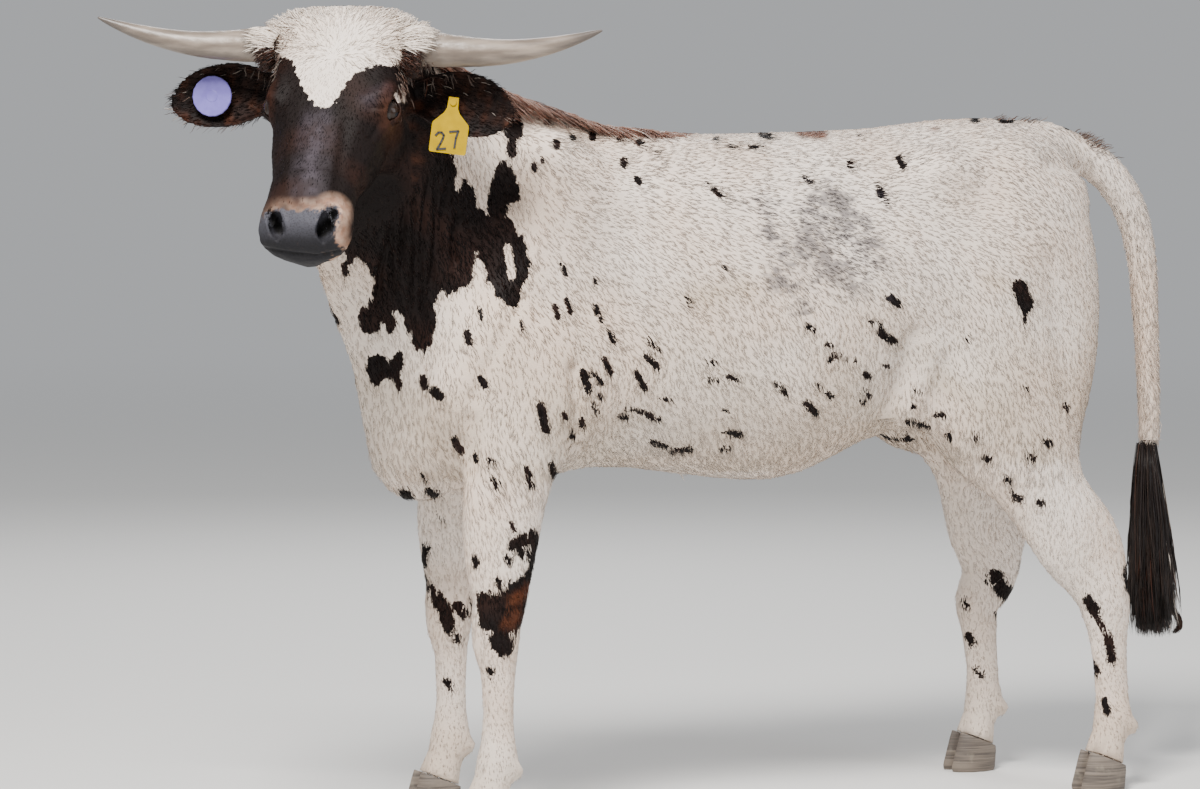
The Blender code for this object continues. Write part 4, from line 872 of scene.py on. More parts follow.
# Name, where it grows, tufts to a square metre, their length, width and rise at the tip
SHORT_COAT = (
    ("coat_face", on_face, 62000, face_length, 0.0009, 0.05),
    ("coat_ears", on_ears, 52000, evenly(0.010), 0.0010, 0.16),
    ("coat_neck", on_region(-0.80, -0.30, 0, 0.56), 22000, body_length, 0.0019, 0.06),
    ("coat_near_shoulder", on_region(-0.30, 0.02, -1, 0.56), 30000, body_length, 0.0019, 0.05),
    ("coat_near_flank", on_region(0.02, 0.40, -1, 0.56), 30000, body_length, 0.0019, 0.05),
    ("coat_near_rump", on_region(0.40, 0.87, -1, 0.56), 30000, body_length, 0.0019, 0.05),
    ("coat_far_shoulder", on_region(-0.30, 0.20, 1, 0.56), 19000, body_length, 0.0021, 0.05),
    ("coat_far_rump", on_region(0.20, 0.87, 1, 0.56), 19000, body_length, 0.0021, 0.05),
    ("coat_forelegs", on_region(-0.60, 0.10, 0, 0.045, 0.56), 32000, leg_length, 0.0014, 0.08),
    ("coat_hindlegs", on_region(0.10, 0.87, 0, 0.045, 0.56), 32000, leg_length, 0.0014, 0.08),
    ("coat_tail", on_region(0.87, 1.10, 0, 0.50), 40000, evenly(0.020), 0.0017, 0.10),
)


# Long hair

def hair(name, roots, starts, sags, length, width, seed, values, wavy=0.0, stations=6,
         gather=None, replaced=()):
    """Long fine locks: each leaves its root along its start and sags by its own share."""
    rng = np.random.default_rng(seed)
    count = len(roots)
    starts = starts / np.linalg.norm(starts, axis=1)[:, None]
    t = np.linspace(0, 1, stations)
    bend = t * t
    paths = roots[:, None, :] + starts[:, None, :] * (length[:, None] * t[None, :])[:, :, None]
    paths = paths + sags[:, None, :] * (length[:, None] * bend[None, :])[:, :, None]
    across = np.cross(starts, sags + rng.normal(0, 0.35, (count, 3)))
    across /= np.maximum(np.linalg.norm(across, axis=1), 1e-6)[:, None]
    phase = rng.uniform(0, 6.28, count)
    curl = np.sin(t[None, :] * rng.uniform(5, 9, count)[:, None] + phase[:, None]) * t[None, :]
    paths = paths + across[:, None, :] * (curl * length[:, None] * wavy)[:, :, None]
    if gather:
        paths = gather(paths, rng)
    wide = width * rng.uniform(0.7, 1.3, count)
    widths = wide[:, None] * np.interp(t, (0, 0.25, 0.8, 1), (0.8, 1.0, 0.7, 0))[None, :]
    given = {"shade": rng.random(count), "rust": np.zeros(count), "dark": np.zeros(count)}
    given.update(values)
    coat_piece(name, paths, across, widths, LOCK_THICKNESS, given, "long hair", replaced)


def make_switch(settings):
    """The black tuft at the tail's end, in place of the solid one."""
    rng = np.random.default_rng(41)
    count = int(3600 * settings.density)
    low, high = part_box("tail_switch")
    root_z = 0.600 - 0.27 * rng.random(count) ** 1.15
    angle = rng.uniform(0, 2 * math.pi, count)
    inner = np.interp(root_z, (0.33, 0.45, 0.60), (0.004, 0.012, 0.019)) * np.sqrt(rng.random(count))
    out = np.stack((np.cos(angle), np.sin(angle), np.zeros(count)), axis=1)
    middle_x = np.interp(root_z, (0.33, 0.60), (SWITCH_X + 0.008, SWITCH_X))
    roots = np.stack((middle_x, np.full(count, MIDDLE_Y), root_z), axis=1) + out * inner[:, None]
    tip_z = low.z + 0.004 + 0.13 * rng.random(count) ** 1.7
    length = np.maximum(root_z - tip_z, 0.06)
    length = np.minimum(length, 0.20 + 0.12 * rng.random(count))
    starts = out * 0.16 + np.array((0.03, 0.0, -1.0))
    sags = -out * 0.05 + np.array((0.035, 0, 0))
    side = smoothstep(0.2, 0.9, out[:, 0]) * (root_z > 0.43)
    grey = (rng.random(count) < 0.38 * side) * rng.uniform(0.3, 0.9, count)
    rusty = (rng.random(count) < 0.08) * rng.random(count) * 0.5

    def inside(paths, _):
        lowest = np.array((low.x + 0.002, low.y + 0.003, low.z + 0.001))
        highest = np.array((high.x - 0.001, high.y - 0.003, high.z))
        return np.clip(paths, lowest, highest)

    hair("switch", roots, starts, sags, length, 0.0030, 42, {"dark": 1 - grey, "rust": rusty},
         wavy=0.020, stations=7, gather=inside, replaced=("tail_switch",))


# The loose lock's middle line: x and height
CURL = ((0.952, 0.345), (0.966, 0.322), (0.981, 0.306), (0.995, 0.292), (1.007, 0.281),
        (1.014, 0.270), (1.0135, 0.259), (1.007, 0.252), (0.999, 0.249))
CURL_BACK = 1.0170


def make_curl(settings):
    """The loose lock that curls away at the back of the tuft's end."""
    rng = np.random.default_rng(43)
    count = int(150 * settings.density)
    t = np.linspace(0, 1, len(CURL))
    line = np.array(CURL)
    paths = np.zeros((count, len(CURL), 3))
    paths[:, :, 0] = line[None, :, 0]
    paths[:, :, 2] = line[None, :, 1]
    paths[:, :, 1] = MIDDLE_Y
    paths += rng.normal(0, 0.0035, (count, 1, 3)) * (1.0 - 0.55 * t)[None, :, None]
    paths[:, :, 0] = np.minimum(paths[:, :, 0], CURL_BACK)
    widths = 0.0022 * np.interp(t, (0, 0.7, 1), (1, 0.8, 0))[None, :] * np.ones((count, 1))
    across = np.tile(np.array((0.0, 1.0, 0.0)), (count, 1))
    values = {"shade": rng.random(count), "dark": np.ones(count), "rust": rng.random(count) * 0.3}
    coat_piece("switch_curl", paths, across, widths, LOCK_THICKNESS, values, "long hair")


def skin_heights(xs, ys, top=1.5):
    """Where downward lines meet the skin, and the skin's normal there."""
    skin = bpy.data.objects["skin"]
    found, normals = [], []
    for x, y in zip(xs, ys):
        hit, place, normal, _ = skin.ray_cast(Vector((x, y, top)), Vector((0, 0, -1)))
        found.append(place if hit else Vector((x, y, 0)))
        normals.append(normal if hit else Vector((0, 0, 1)))
    return np.array(found), np.array(normals)


def make_nape(settings):
    """The reddish fringe along the nape and withers, falling to both sides."""
    rng = np.random.default_rng(51)
    count = int(5600 * settings.density)
    x = rng.uniform(-0.60, 0.0, count)
    y = nape_middle(x) + rng.normal(0, 0.015, count)
    roots, normals = skin_heights(x, y)
    good = roots[:, 2] > 1.0
    roots, normals, x = roots[good], normals[good], x[good]
    count = len(x)
    side = np.sign(roots[:, 1] - nape_middle(x) + rng.normal(0, 0.006, count))
    fade = smoothstep(0.02, -0.12, x) * smoothstep(-0.62, -0.52, x)
    length = (0.022 + 0.050 * fade) * rng.uniform(0.6, 1.15, count)
    starts = normals * 0.55 + np.stack((np.full(count, 0.55), 0.75 * side, np.zeros(count)), axis=1)
    sags = np.stack((np.full(count, 0.10), 0.10 * side, np.full(count, -0.75)), axis=1)
    near = rng.random(count)
    values = {"rust": np.where(near < 0.90, 1.0, 0.30) * rng.uniform(0.8, 1.0, count),
              "dark": np.where(near > 0.92, 1.0, 0.0)}
    hair("nape_fringe", roots - normals * 0.003, starts, sags, length, 0.0021, 52, values, wavy=0.05)


def make_poll(settings):
    """The wavy white hair that covers the top of the head and falls on the brow."""
    rng = np.random.default_rng(61)
    skin = bpy.data.objects["skin"]

    def on_top(points, _):
        local = head_place(points)
        v_shape = smoothstep(0.125, 0.02, local[:, 0] + 0.55 * np.abs(local[:, 1]))
        mine = (beyond_cut(points) > -0.01) & (np.abs(local[:, 1]) < 0.12) & (local[:, 2] > -0.07)
        return mine * v_shape * (ear_share(local) <= 0)

    roots, normals = surface_samples(
        skin.data, lambda p, n: 95000 * on_top(p, n) * settings.density, rng)
    local = head_place(roots)
    count = len(roots)
    turn = np.array(head_turn())
    away = local - np.array((0.075, 0.004, 0.0))
    away[:, 2] = 0
    reach = np.linalg.norm(away, axis=1)
    radial = away / np.maximum(reach, 1e-4)[:, None] + rng.normal(0, 0.18, (count, 3))
    starts = radial @ turn.T + normals * 0.16
    sags = -normals * 0.26 + np.array((0, 0, -0.10))
    length = np.interp(local[:, 0], (-0.05, 0.02, 0.09, 0.13), (0.020, 0.034, 0.028, 0.015))
    length = length * rng.uniform(0.7, 1.2, count)
    back = smoothstep(-0.005, -0.035, local[:, 0])
    values = {"rust": back * rng.random(count), "dark": np.zeros(count)}
    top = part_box("head")[1].z

    def below(paths, rng):
        limit = top - 0.0025 - 0.010 * rng.random(len(paths))[:, None]
        paths[:, :, 2] = np.minimum(paths[:, :, 2], limit)
        return paths

    hair("poll_hair", roots - normals * 0.002, starts, sags, length, 0.0020, 62, values,
         wavy=0.11, gather=below)


def make_collars(settings):
    """Hair that runs out from the head over each horn's base, white above and dark below."""
    rng = np.random.default_rng(66)
    all_paths, marks = [], []
    for name in HORNS:
        shell = points_of(NODES[name].data)
        reach = np.abs(head_place(shell)[:, 1])
        order = (reach - reach.min()) / (reach.max() - reach.min())
        base = shell[order < 0.06].mean(0)
        onward = shell[(order > 0.22) & (order < 0.34)].mean(0)
        axis = (onward - base) / np.linalg.norm(onward - base)
        girth = np.linalg.norm(shell[order < 0.10] - base, axis=1).mean()
        upward = np.array((0.0, 0.0, 1.0))
        upward -= axis * axis[2]
        upward /= np.linalg.norm(upward)
        forward = np.cross(axis, upward)
        count = int(900 * settings.density)
        angle = rng.uniform(0, 2 * math.pi, count)
        out = np.cos(angle)[:, None] * upward + np.sin(angle)[:, None] * forward
        top = smoothstep(-0.35, 0.35, np.cos(angle))
        length = (0.020 + 0.026 * top) * rng.uniform(0.6, 1.15, count)
        t = np.linspace(0, 1, 6)
        along = -0.012 + 0.016 * rng.random(count)[:, None] + length[:, None] * t
        lift = 0.002 + 0.007 * np.sin(t * 2.6)[None, :] * rng.uniform(0.5, 1.3, (count, 1))
        narrow = girth * (1 - 0.9 * np.maximum(along, 0))
        drop = -0.010 * (1 - top)[:, None] * t * t
        swing = rng.normal(0, 0.006, (count, 1)) * t
        paths = base + axis * along[:, :, None] + out[:, None, :] * (narrow + lift)[:, :, None]
        paths += upward * drop[:, :, None] + np.cross(axis, out)[:, None, :] * swing[:, :, None]
        all_paths.append(paths)
        marks.append(top < 0.45 + 0.2 * rng.random(count))
    paths, dark = np.concatenate(all_paths), np.concatenate(marks)
    paths[:, :, 2] = np.minimum(paths[:, :, 2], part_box("head")[1].z - 0.0045)
    count = len(paths)
    across = np.cross(paths[:, 1] - paths[:, 0], rng.normal(0, 1, (count, 3)))
    across /= np.linalg.norm(across, axis=1)[:, None]
    wide = 0.0021 * rng.uniform(0.7, 1.3, count)
    widths = wide[:, None] * np.interp(np.linspace(0, 1, 6), (0, 0.3, 0.8, 1), (0.7, 1, 0.7, 0))[None]
    values = {"shade": rng.random(count), "dark": dark * 1.0, "rust": dark * 0.35 * rng.random(count)}
    coat_piece("horn_collars", paths, across, widths, LOCK_THICKNESS, values, "long hair")


BACK_TUFTS = ((0.616, 14), (0.672, 20), (0.792, 55), (0.822, 55))   # x along the back, number


def make_dark_tufts(settings):
    """Dark locks under the horns' bases, on the rump and at the tail's head."""
    rng = np.random.default_rng(71)
    places, facings, ways = [], [], []
    skin = bpy.data.objects["skin"]
    for horn in HORNS:
        low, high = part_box(horn)
        centre = np.array((low + high) / 2)
        rooted = centre + (np.array(HEAD_AT) - centre) * 0.52
        for _ in range(int(420 * settings.density)):
            aim = rooted + rng.normal(0, 0.028, 3) + np.array((0, 0, -0.028))
            hit, place, normal, _ = skin.closest_point_on_mesh(Vector(aim))
            if hit:
                places.append(np.array(place))
                facings.append(np.array(normal))
                ways.append(np.array((0.0, 0.0, -0.75)) + (centre - rooted) * 1.2)
    for x, number in BACK_TUFTS:
        xs = x + rng.normal(0, 0.010, number)
        ys = MIDDLE_Y - 0.012 + rng.normal(0, 0.012, number)
        found, normals = skin_heights(xs, ys)
        places += list(found)
        facings += list(normals)
        ways += [np.array((0.8, -0.1, 0.25))] * number
    roots, normals, starts = np.array(places), np.array(facings), np.array(ways)
    found = roots[:, 2] > 0.5
    roots, normals, starts = roots[found], normals[found], starts[found]
    count = len(roots)
    length = rng.uniform(0.014, 0.030, count)
    starts = starts + normals * 0.35 + rng.normal(0, 0.15, (count, 3))
    sags = -normals * 0.2
    values = {"dark": rng.uniform(0.7, 1, count), "rust": rng.random(count) * 0.5}
    hair("dark_tufts", roots - normals * 0.002, starts, sags, length, 0.0016, 72, values,
         wavy=0.08, stations=5)


def make_ear_hair(settings):
    """Long dark hair inside the ears, with a few rusty locks along their edges."""
    rng = np.random.default_rng(81)
    skin = bpy.data.objects["skin"]
    turn = np.array(head_turn())

    def on_front(points, normals):
        local = head_place(points)
        facing = normals @ turn
        cup = smoothstep(0.05, 0.5, facing[:, 0])
        return (ear_share(local) > 0.12) * on_ears(points, normals) * (0.10 + 0.90 * cup)

    roots, normals = surface_samples(
        skin.data, lambda p, n: 26000 * on_front(p, n) * settings.density, rng)
    local = head_place(roots)
    count = len(roots)
    side = np.sign(local[:, 1])
    outward = np.stack((np.full(count, 0.15), side, np.zeros(count)), axis=1)
    outward += rng.normal(0, 0.25, (count, 3))
    edge = np.abs(local[:, 2] + 0.105) / 0.045
    outward[:, 2] += np.clip(edge, 0, 1.2) * 0.8 * np.sign(local[:, 2] + 0.105)
    starts = outward @ turn.T + normals * 0.30
    sags = np.tile(np.array((0, 0, -0.10)), (count, 1))
    length = 0.010 + 0.013 * rng.random(count)
    rim = (edge > 0.75) | (ear_share(local) > 0.85)
    values = {"dark": np.where(rng.random(count) < 0.90, 1.0, 0.45),
              "rust": np.where(rim, 0.75, 0.12) * rng.random(count)}
    hair("ear_hair", roots - normals * 0.001, starts, sags, length, 0.0010, 82, values,
         wavy=0.05, stations=5)


def make_tail_fringe(settings):
    """Longer hair under the tail's root and down the back of the tail."""
    rng = np.random.default_rng(91)
    skin = bpy.data.objects["skin"]

    def behind(points, normals):
        mine = (points[:, 0] > 0.86) & (points[:, 2] < 1.13)
        return mine * (0.25 + 0.75 * smoothstep(-0.3, 0.3, normals[:, 0] * 0.4 - normals[:, 2]))

    roots, normals = surface_samples(
        skin.data, lambda p, n: 22000 * behind(p, n) * settings.density, rng)
    count = len(roots)
    starts = lie(roots, normals) + normals * 0.10 + rng.normal(0, 0.06, (count, 3))
    sags = -normals * 0.06
    length = rng.uniform(0.018, 0.034, count)
    front = smoothstep(0.0, -0.5, normals[:, 0]) * (roots[:, 2] < 1.10)
    values = {"dark": (rng.random(count) < 0.35 * front + 0.02) * 0.95, "rust": rng.random(count) * 0.2}
    hair("tail_hair", roots - normals * 0.002, starts, sags, length, 0.0017, 92, values,
         wavy=0.04, stations=5)


# Eyes, horns, hooves and tags

def make_eye(name, side):
    """A globe with a bulged cornea; its fields mark iris and pupil."""
    low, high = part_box(name)
    centre = (low + high) / 2
    radius = (high.x - low.x + high.y - low.y + high.z - low.z) / 6
    bm = bmesh.new()
    bmesh.ops.create_uvsphere(bm, u_segments=56, v_segments=36, radius=radius)
    gaze = (head_turn() @ Vector((0.30, side * 0.95, 0.02))).normalized()
    level = Vector((0, 0, 1)).cross(gaze).normalized()
    upright = gaze.cross(level)
    iris, pupil = [], []
    for vert in bm.verts:
        way = vert.co.normalized()
        along = way.dot(gaze)
        bulge = max(0.0, (along - 0.74) / 0.26)
        vert.co *= 1 + 0.035 * bulge * bulge * (3 - 2 * bulge)
        iris.append(way.angle(gaze))
        flat = math.hypot(way.dot(level) / 0.40, way.dot(upright) / 0.19)
        pupil.append(flat if along > 0 else 9.0)
    mesh = mesh_from(bm, name + "_globe")
    mesh.transform(Matrix.Translation(centre))
    set_fields(mesh, {"iris": np.array(iris), "pupil": np.array(pupil)})
    mesh.shade_smooth()
    cover(mesh, "eye surface")
    new_piece(mesh, name + "_globe", (name,))


def make_horn(name):
    """The solid's shape made round, with ridges near its base and a field along it."""
    horn = linked(mesh_from(merged_copy(name), name + "_sheath"), name + "_sheath")
    round_off = horn.modifiers.new("round", "SUBSURF")
    round_off.levels = round_off.render_levels = 2
    finish_shape(horn)
    points, normals = points_of(horn.data), normals_of(horn.data)
    reach = np.abs(head_place(points)[:, 1])
    along = (reach - reach.min()) / (reach.max() - reach.min())
    ridge = 0.0009 * np.sin(reach * 620 + 2 * np.sin(reach * 90)) * smoothstep(0.42, 0.05, along)
    ridge += 0.0006 * wave(points, 0.012, 31) * smoothstep(0.6, 0.1, along)
    put_points(horn.data, points + normals * (ridge - 0.0006)[:, None])
    set_fields(horn.data, {"along": along})
    horn.data.shade_smooth()
    cover(horn.data, "horn surface")
    hand_over(horn, (name,))


def make_claw(name):
    """One claw with rounded edges, kept flat where it stands."""
    bm = merged_copy(name)
    sharp = [edge for edge in bm.edges if len(edge.link_faces) == 2 and edge.calc_face_angle() > 0.6]
    bmesh.ops.bevel(bm, geom=sharp, offset=0.0016, segments=3, profile=0.5, affect="EDGES",
                    material=-1, clamp_overlap=True)
    mesh = mesh_from(bm, name + "_horny")
    mesh.shade_smooth()
    cover(mesh, "hoof surface")
    new_piece(mesh, name + "_horny", (name,))


# The flag tag's middle, its facing and its width's direction, then the strokes of its digits
FLAG_MIDDLE = Vector((-0.5262, -0.1252, 1.1430))
FLAG_OUT = Vector((-0.5586, -0.8293, 0.0155))
FLAG_ACROSS = Vector((0.8271, -0.5560, 0.0780)).normalized()
STROKE_HALF = 0.0016
DIGITS = (((-0.0185, 0.0095), (-0.0140, 0.0135), (-0.0085, 0.0130), (-0.0055, 0.0085), (-0.0075, 0.0030),
           (-0.0125, -0.0050), (-0.0185, -0.0130), (-0.0045, -0.0130)),
          ((0.0045, 0.0130), (0.0185, 0.0130), (0.0135, 0.0020), (0.0100, -0.0130)))


def make_number():
    """Plain raised digits on the flag."""
    across = (FLAG_ACROSS - FLAG_OUT * FLAG_ACROSS.dot(FLAG_OUT)).normalized()
    upward = FLAG_OUT.cross(across).normalized()
    if upward.z < 0:
        upward = -upward
    bm = bmesh.new()
    for line in DIGITS:
        for (x0, y0), (x1, y1) in zip(line, line[1:]):
            way = Vector((x1 - x0, y1 - y0)).normalized()
            aside = Vector((-way.y, way.x)) * STROKE_HALF
            over = way * STROKE_HALF * 0.6
            ends = (Vector((x0, y0)) - over, Vector((x1, y1)) + over)
            flat = (ends[0] + aside, ends[1] + aside, ends[1] - aside, ends[0] - aside)
            corners = [FLAG_MIDDLE + across * p.x + upward * p.y for p in flat]
            verts = [bm.verts.new(c + FLAG_OUT * lift) for lift in (-0.0003, 0.0007) for c in corners]
            for order in ((3, 2, 1, 0), (4, 5, 6, 7), (0, 1, 5, 4), (1, 2, 6, 5), (2, 3, 7, 6),
                          (3, 0, 4, 7)):
                bm.faces.new([verts[k] for k in order])
    bmesh.ops.recalc_face_normals(bm, faces=bm.faces)
    mesh = mesh_from(bm, "flag_number")
    cover(mesh, "ink")
    new_piece(mesh, "flag_number", ())


# Materials

class Shading:
    """A material of plain nodes, built one step at a time."""

    def __init__(self, name, **settings):
        self.material = bpy.data.materials.new(name)
        self.material.use_nodes = True
        self.tree = self.material.node_tree
        self.tree.nodes.clear()
        self.shader = self.tree.nodes.new("ShaderNodeBsdfPrincipled")
        self.output = self.tree.nodes.new("ShaderNodeOutputMaterial")
        self.tree.links.new(self.shader.outputs["BSDF"], self.output.inputs["Surface"])
        for socket, value in settings.items():
            self.shader.inputs[socket.replace("_", " ")].default_value = value

    def put(self, socket, value):
        if isinstance(value, (int, float)):
            socket.default_value = value
        elif isinstance(value, tuple):
            socket.default_value = (*value, 1.0)
        else:
            self.tree.links.new(value, socket)

    def attribute(self, name):
        node = self.tree.nodes.new("ShaderNodeAttribute")
        node.attribute_name = name
        return node.outputs["Fac"]

    def noise(self, scale, detail=2.0, stretch=(1.0, 1.0, 1.0)):
        where = self.tree.nodes.new("ShaderNodeTexCoord")
        place = self.tree.nodes.new("ShaderNodeMapping")
        place.inputs["Scale"].default_value = stretch
        node = self.tree.nodes.new("ShaderNodeTexNoise")
        node.inputs["Scale"].default_value = scale
        node.inputs["Detail"].default_value = detail
        self.tree.links.new(where.outputs["Object"], place.inputs["Vector"])
        self.tree.links.new(place.outputs["Vector"], node.inputs["Vector"])
        return node.outputs["Fac"]

    def cells(self, scale):
        where = self.tree.nodes.new("ShaderNodeTexCoord")
        node = self.tree.nodes.new("ShaderNodeTexVoronoi")
        node.inputs["Scale"].default_value = scale
        self.tree.links.new(where.outputs["Object"], node.inputs["Vector"])
        return node.outputs["Distance"]

    def sum(self, kind, first, second):
        node = self.tree.nodes.new("ShaderNodeMath")
        node.operation = kind
        self.put(node.inputs[0], first)
        self.put(node.inputs[1], second)
        return node.outputs[0]

    def step(self, value, low, high, to_low=0.0, to_high=1.0):
        node = self.tree.nodes.new("ShaderNodeMapRange")
        node.interpolation_type = "SMOOTHSTEP"
        self.put(node.inputs["Value"], value)
        node.inputs["From Min"].default_value = low
        node.inputs["From Max"].default_value = high
        node.inputs["To Min"].default_value = to_low
        node.inputs["To Max"].default_value = to_high
        return node.outputs["Result"]

    def mix(self, share, first, second):
        node = self.tree.nodes.new("ShaderNodeMix")
        node.data_type = "RGBA"
        self.put(node.inputs["Factor"], share)
        self.put(node.inputs[6], first)
        self.put(node.inputs[7], second)
        return node.outputs[2]

    def colour(self, value):
        self.put(self.shader.inputs["Base Color"], value)

    def fade(self, near, far, colour):
        """Blends into one even light at a distance from the middle of the floor."""
        where = self.tree.nodes.new("ShaderNodeTexCoord")
        length = self.tree.nodes.new("ShaderNodeVectorMath")
        length.operation = "LENGTH"
        self.tree.links.new(where.outputs["Object"], length.inputs[0])
        light = self.tree.nodes.new("ShaderNodeEmission")
        light.inputs["Color"].default_value = (*colour, 1.0)
        mixed = self.tree.nodes.new("ShaderNodeMixShader")
        self.tree.links.new(self.step(length.outputs["Value"], near, far), mixed.inputs["Fac"])
        self.tree.links.new(self.shader.outputs["BSDF"], mixed.inputs[1])
        self.tree.links.new(light.outputs["Emission"], mixed.inputs[2])
        self.tree.links.new(mixed.outputs["Shader"], self.output.inputs["Surface"])

    def bump(self, height, distance, strength=1.0):
        node = self.tree.nodes.new("ShaderNodeBump")
        node.inputs["Distance"].default_value = distance
        node.inputs["Strength"].default_value = strength
        self.put(node.inputs["Height"], height)
        self.tree.links.new(node.outputs["Normal"], self.shader.inputs["Normal"])


# Colours of the coat and muzzle
WHITE = (0.81, 0.715, 0.635)
WARM_WHITE = (0.71, 0.565, 0.46)
SHADED_WHITE = (0.62, 0.53, 0.45)
SHADED_LOCK = (0.60, 0.52, 0.43)
BLACK = (0.0065, 0.0038, 0.0034)
DARK_BROWN = (0.021, 0.0085, 0.0058)
BROWN_LOCK = (0.030, 0.018, 0.013)
RUST = (0.115, 0.030, 0.011)
LIGHT_RUST = (0.20, 0.075, 0.032)
RUST_LOCK = (0.17, 0.052, 0.022)
ROAN_GREY = (0.17, 0.15, 0.15)
# Bluish grey of the painted sheen on the face's dark hair
SLATE_SHEEN = (0.050, 0.041, 0.050)
SLATE = (0.070, 0.070, 0.085)
DARK_SLATE = (0.050, 0.048, 0.058)
# Near black of the painted shade in the nostrils and the mouth's cleft, and of the muzzle's darkening
# towards its bottom
HOLE_SHADE_AND_LOW_BLACK = (0.004, 0.0035, 0.0035)
TAN = (0.36, 0.20, 0.135)
LIGHT_TAN = (0.50, 0.335, 0.25)
STAIN_AND_LOW_BEIGE = (0.47, 0.375, 0.275)

# Colours of the eyes, horns, claws, tags and floor
IRIS, EYE_EDGE, PUPIL = (0.016, 0.0075, 0.004), (0.020, 0.014, 0.012), (0.004, 0.005, 0.009)
PALE_HORN, STREAKED_HORN, BASE_HORN = (0.29, 0.235, 0.19), (0.13, 0.10, 0.078), (0.16, 0.125, 0.10)
HORN_TIP = (0.085, 0.068, 0.058)
DARK_HOOF, LIGHT_HOOF, WORN_HOOF = (0.085, 0.070, 0.060), (0.19, 0.155, 0.125), (0.30, 0.26, 0.20)
YELLOW, DEEP_YELLOW = (0.44, 0.285, 0.0), (0.38, 0.245, 0.0)
LILAC, DEEP_LILAC = (0.19, 0.16, 0.50), (0.155, 0.125, 0.43)
INK = (0.03, 0.03, 0.032)
FLOOR = (0.74, 0.735, 0.72)
AIR = (0.44, 0.45, 0.465)


def coat_colour(made, edge_noise):
    """The markings as a colour, from the fields carried by the skin and the tufts."""
    shade = made.attribute("shade")
    soft = made.mix(made.step(made.noise(4.0, 3.0), 0.35, 0.7), WHITE, WARM_WHITE)
    white = made.mix(made.step(shade, 0.0, 1.0, 0.0, 0.28), soft, SHADED_WHITE)
    flecks = made.sum("ADD", made.noise(95.0, 3.0, (0.6, 1.0, 1.4)), made.noise(22.0, 3.0))
    flecks = made.sum("ADD", flecks, made.sum("MULTIPLY", made.attribute("roan_and_painted_sheen"), 0.62))
    flecks = made.sum("ADD", flecks, made.sum("MULTIPLY", shade, 0.30))
    roan_share = made.step(flecks, 1.50, 1.95, 0.0, 0.85)
    base = made.mix(roan_share, white, ROAN_GREY)
    # Beige of the stains and of the darkening towards the bottom
    base = made.mix(made.sum("MULTIPLY", made.attribute("stain_and_low_darkening"), 0.60), base, STAIN_AND_LOW_BEIGE)
    black = made.mix(made.step(shade, 0.3, 1.0, 0.0, 0.7), BLACK, DARK_BROWN)
    # Painted sheen: dark hair turns bluish grey where the field holds the face's painted reflection and
    # highlight, and greys where roan ground meets a spot
    broken = made.step(made.noise(45.0), 0.3, 0.7, 0.35, 0.9)
    sheen = made.sum("MULTIPLY", made.attribute("roan_and_painted_sheen"), broken)
    black = made.mix(sheen, black, SLATE_SHEEN)
    ragged = made.sum("ADD", made.attribute("dark"), edge_noise)
    base = made.mix(made.step(ragged, 0.44, 0.56), base, black)
    red = made.mix(made.step(shade, 0.2, 1.0, 0.0, 0.6), RUST, LIGHT_RUST)
    return made.mix(made.step(made.attribute("rust"), 0.15, 0.9, 0.0, 0.92), base, red)


def make_skin_surface():
    """The coat as it shows on the skin, and the bare muzzle."""
    skin = Shading("skin surface", Roughness=0.62, Specular_IOR_Level=0.12)
    edge = skin.step(skin.noise(260.0, 3.0), 0.25, 0.75, -0.12, 0.12)
    fur = coat_colour(skin, edge)
    tan = skin.mix(skin.step(skin.noise(90.0, 3.0), 0.3, 0.7), TAN, LIGHT_TAN)
    mottled = skin.step(skin.noise(60.0), 0.2, 0.6, 0.6, 1.0)
    nose = skin.mix(skin.sum("MULTIPLY", skin.attribute("tan"), mottled), fur, tan)
    rough_edge = skin.step(skin.noise(120.0, 3.0), 0.25, 0.75, -0.3, 0.3)
    soft_edge = skin.sum("ADD", skin.attribute("slate"), rough_edge)
    slate = skin.mix(skin.step(skin.cells(330.0), 0.1, 0.6), DARK_SLATE, SLATE)
    # Painted shade: the nostrils and the mouth's cleft go near black, and the muzzle darkens towards its
    # bottom
    slate = skin.mix(skin.attribute("hollow"), slate, HOLE_SHADE_AND_LOW_BLACK)
    nose = skin.mix(skin.step(soft_edge, 0.30, 0.80), nose, slate)
    skin.colour(nose)
    hairs = skin.noise(420.0, 4.0, (0.35, 1.0, 1.0))
    skin.bump(skin.sum("ADD", hairs, skin.sum("MULTIPLY", skin.noise(90.0, 3.0), 0.6)), 0.0012, 0.55)


def make_hair_surfaces():
    """The tufts and the long locks."""
    coat = Shading("short fur", Roughness=0.60, Specular_IOR_Level=0.15)
    fur = coat_colour(coat, 0.0)
    fur = coat.mix(coat.sum("MULTIPLY", coat.attribute("tan"), 0.85), fur, TAN)
    fur = coat.mix(coat.step(coat.attribute("slate"), 0.42, 0.58), fur, SLATE)
    coat.colour(fur)

    long_hair = Shading("long hair", Roughness=0.45, Specular_IOR_Level=0.35)
    shade = long_hair.attribute("shade")
    white = long_hair.mix(long_hair.step(shade, 0.0, 1.0, 0.0, 0.6), WHITE, SHADED_LOCK)
    black = long_hair.mix(long_hair.step(shade, 0.4, 1.0, 0.0, 0.8), BLACK, BROWN_LOCK)
    red = long_hair.mix(shade, RUST, RUST_LOCK)
    colour = long_hair.mix(long_hair.attribute("dark"), white, black)
    long_hair.colour(long_hair.mix(long_hair.attribute("rust"), colour, red))


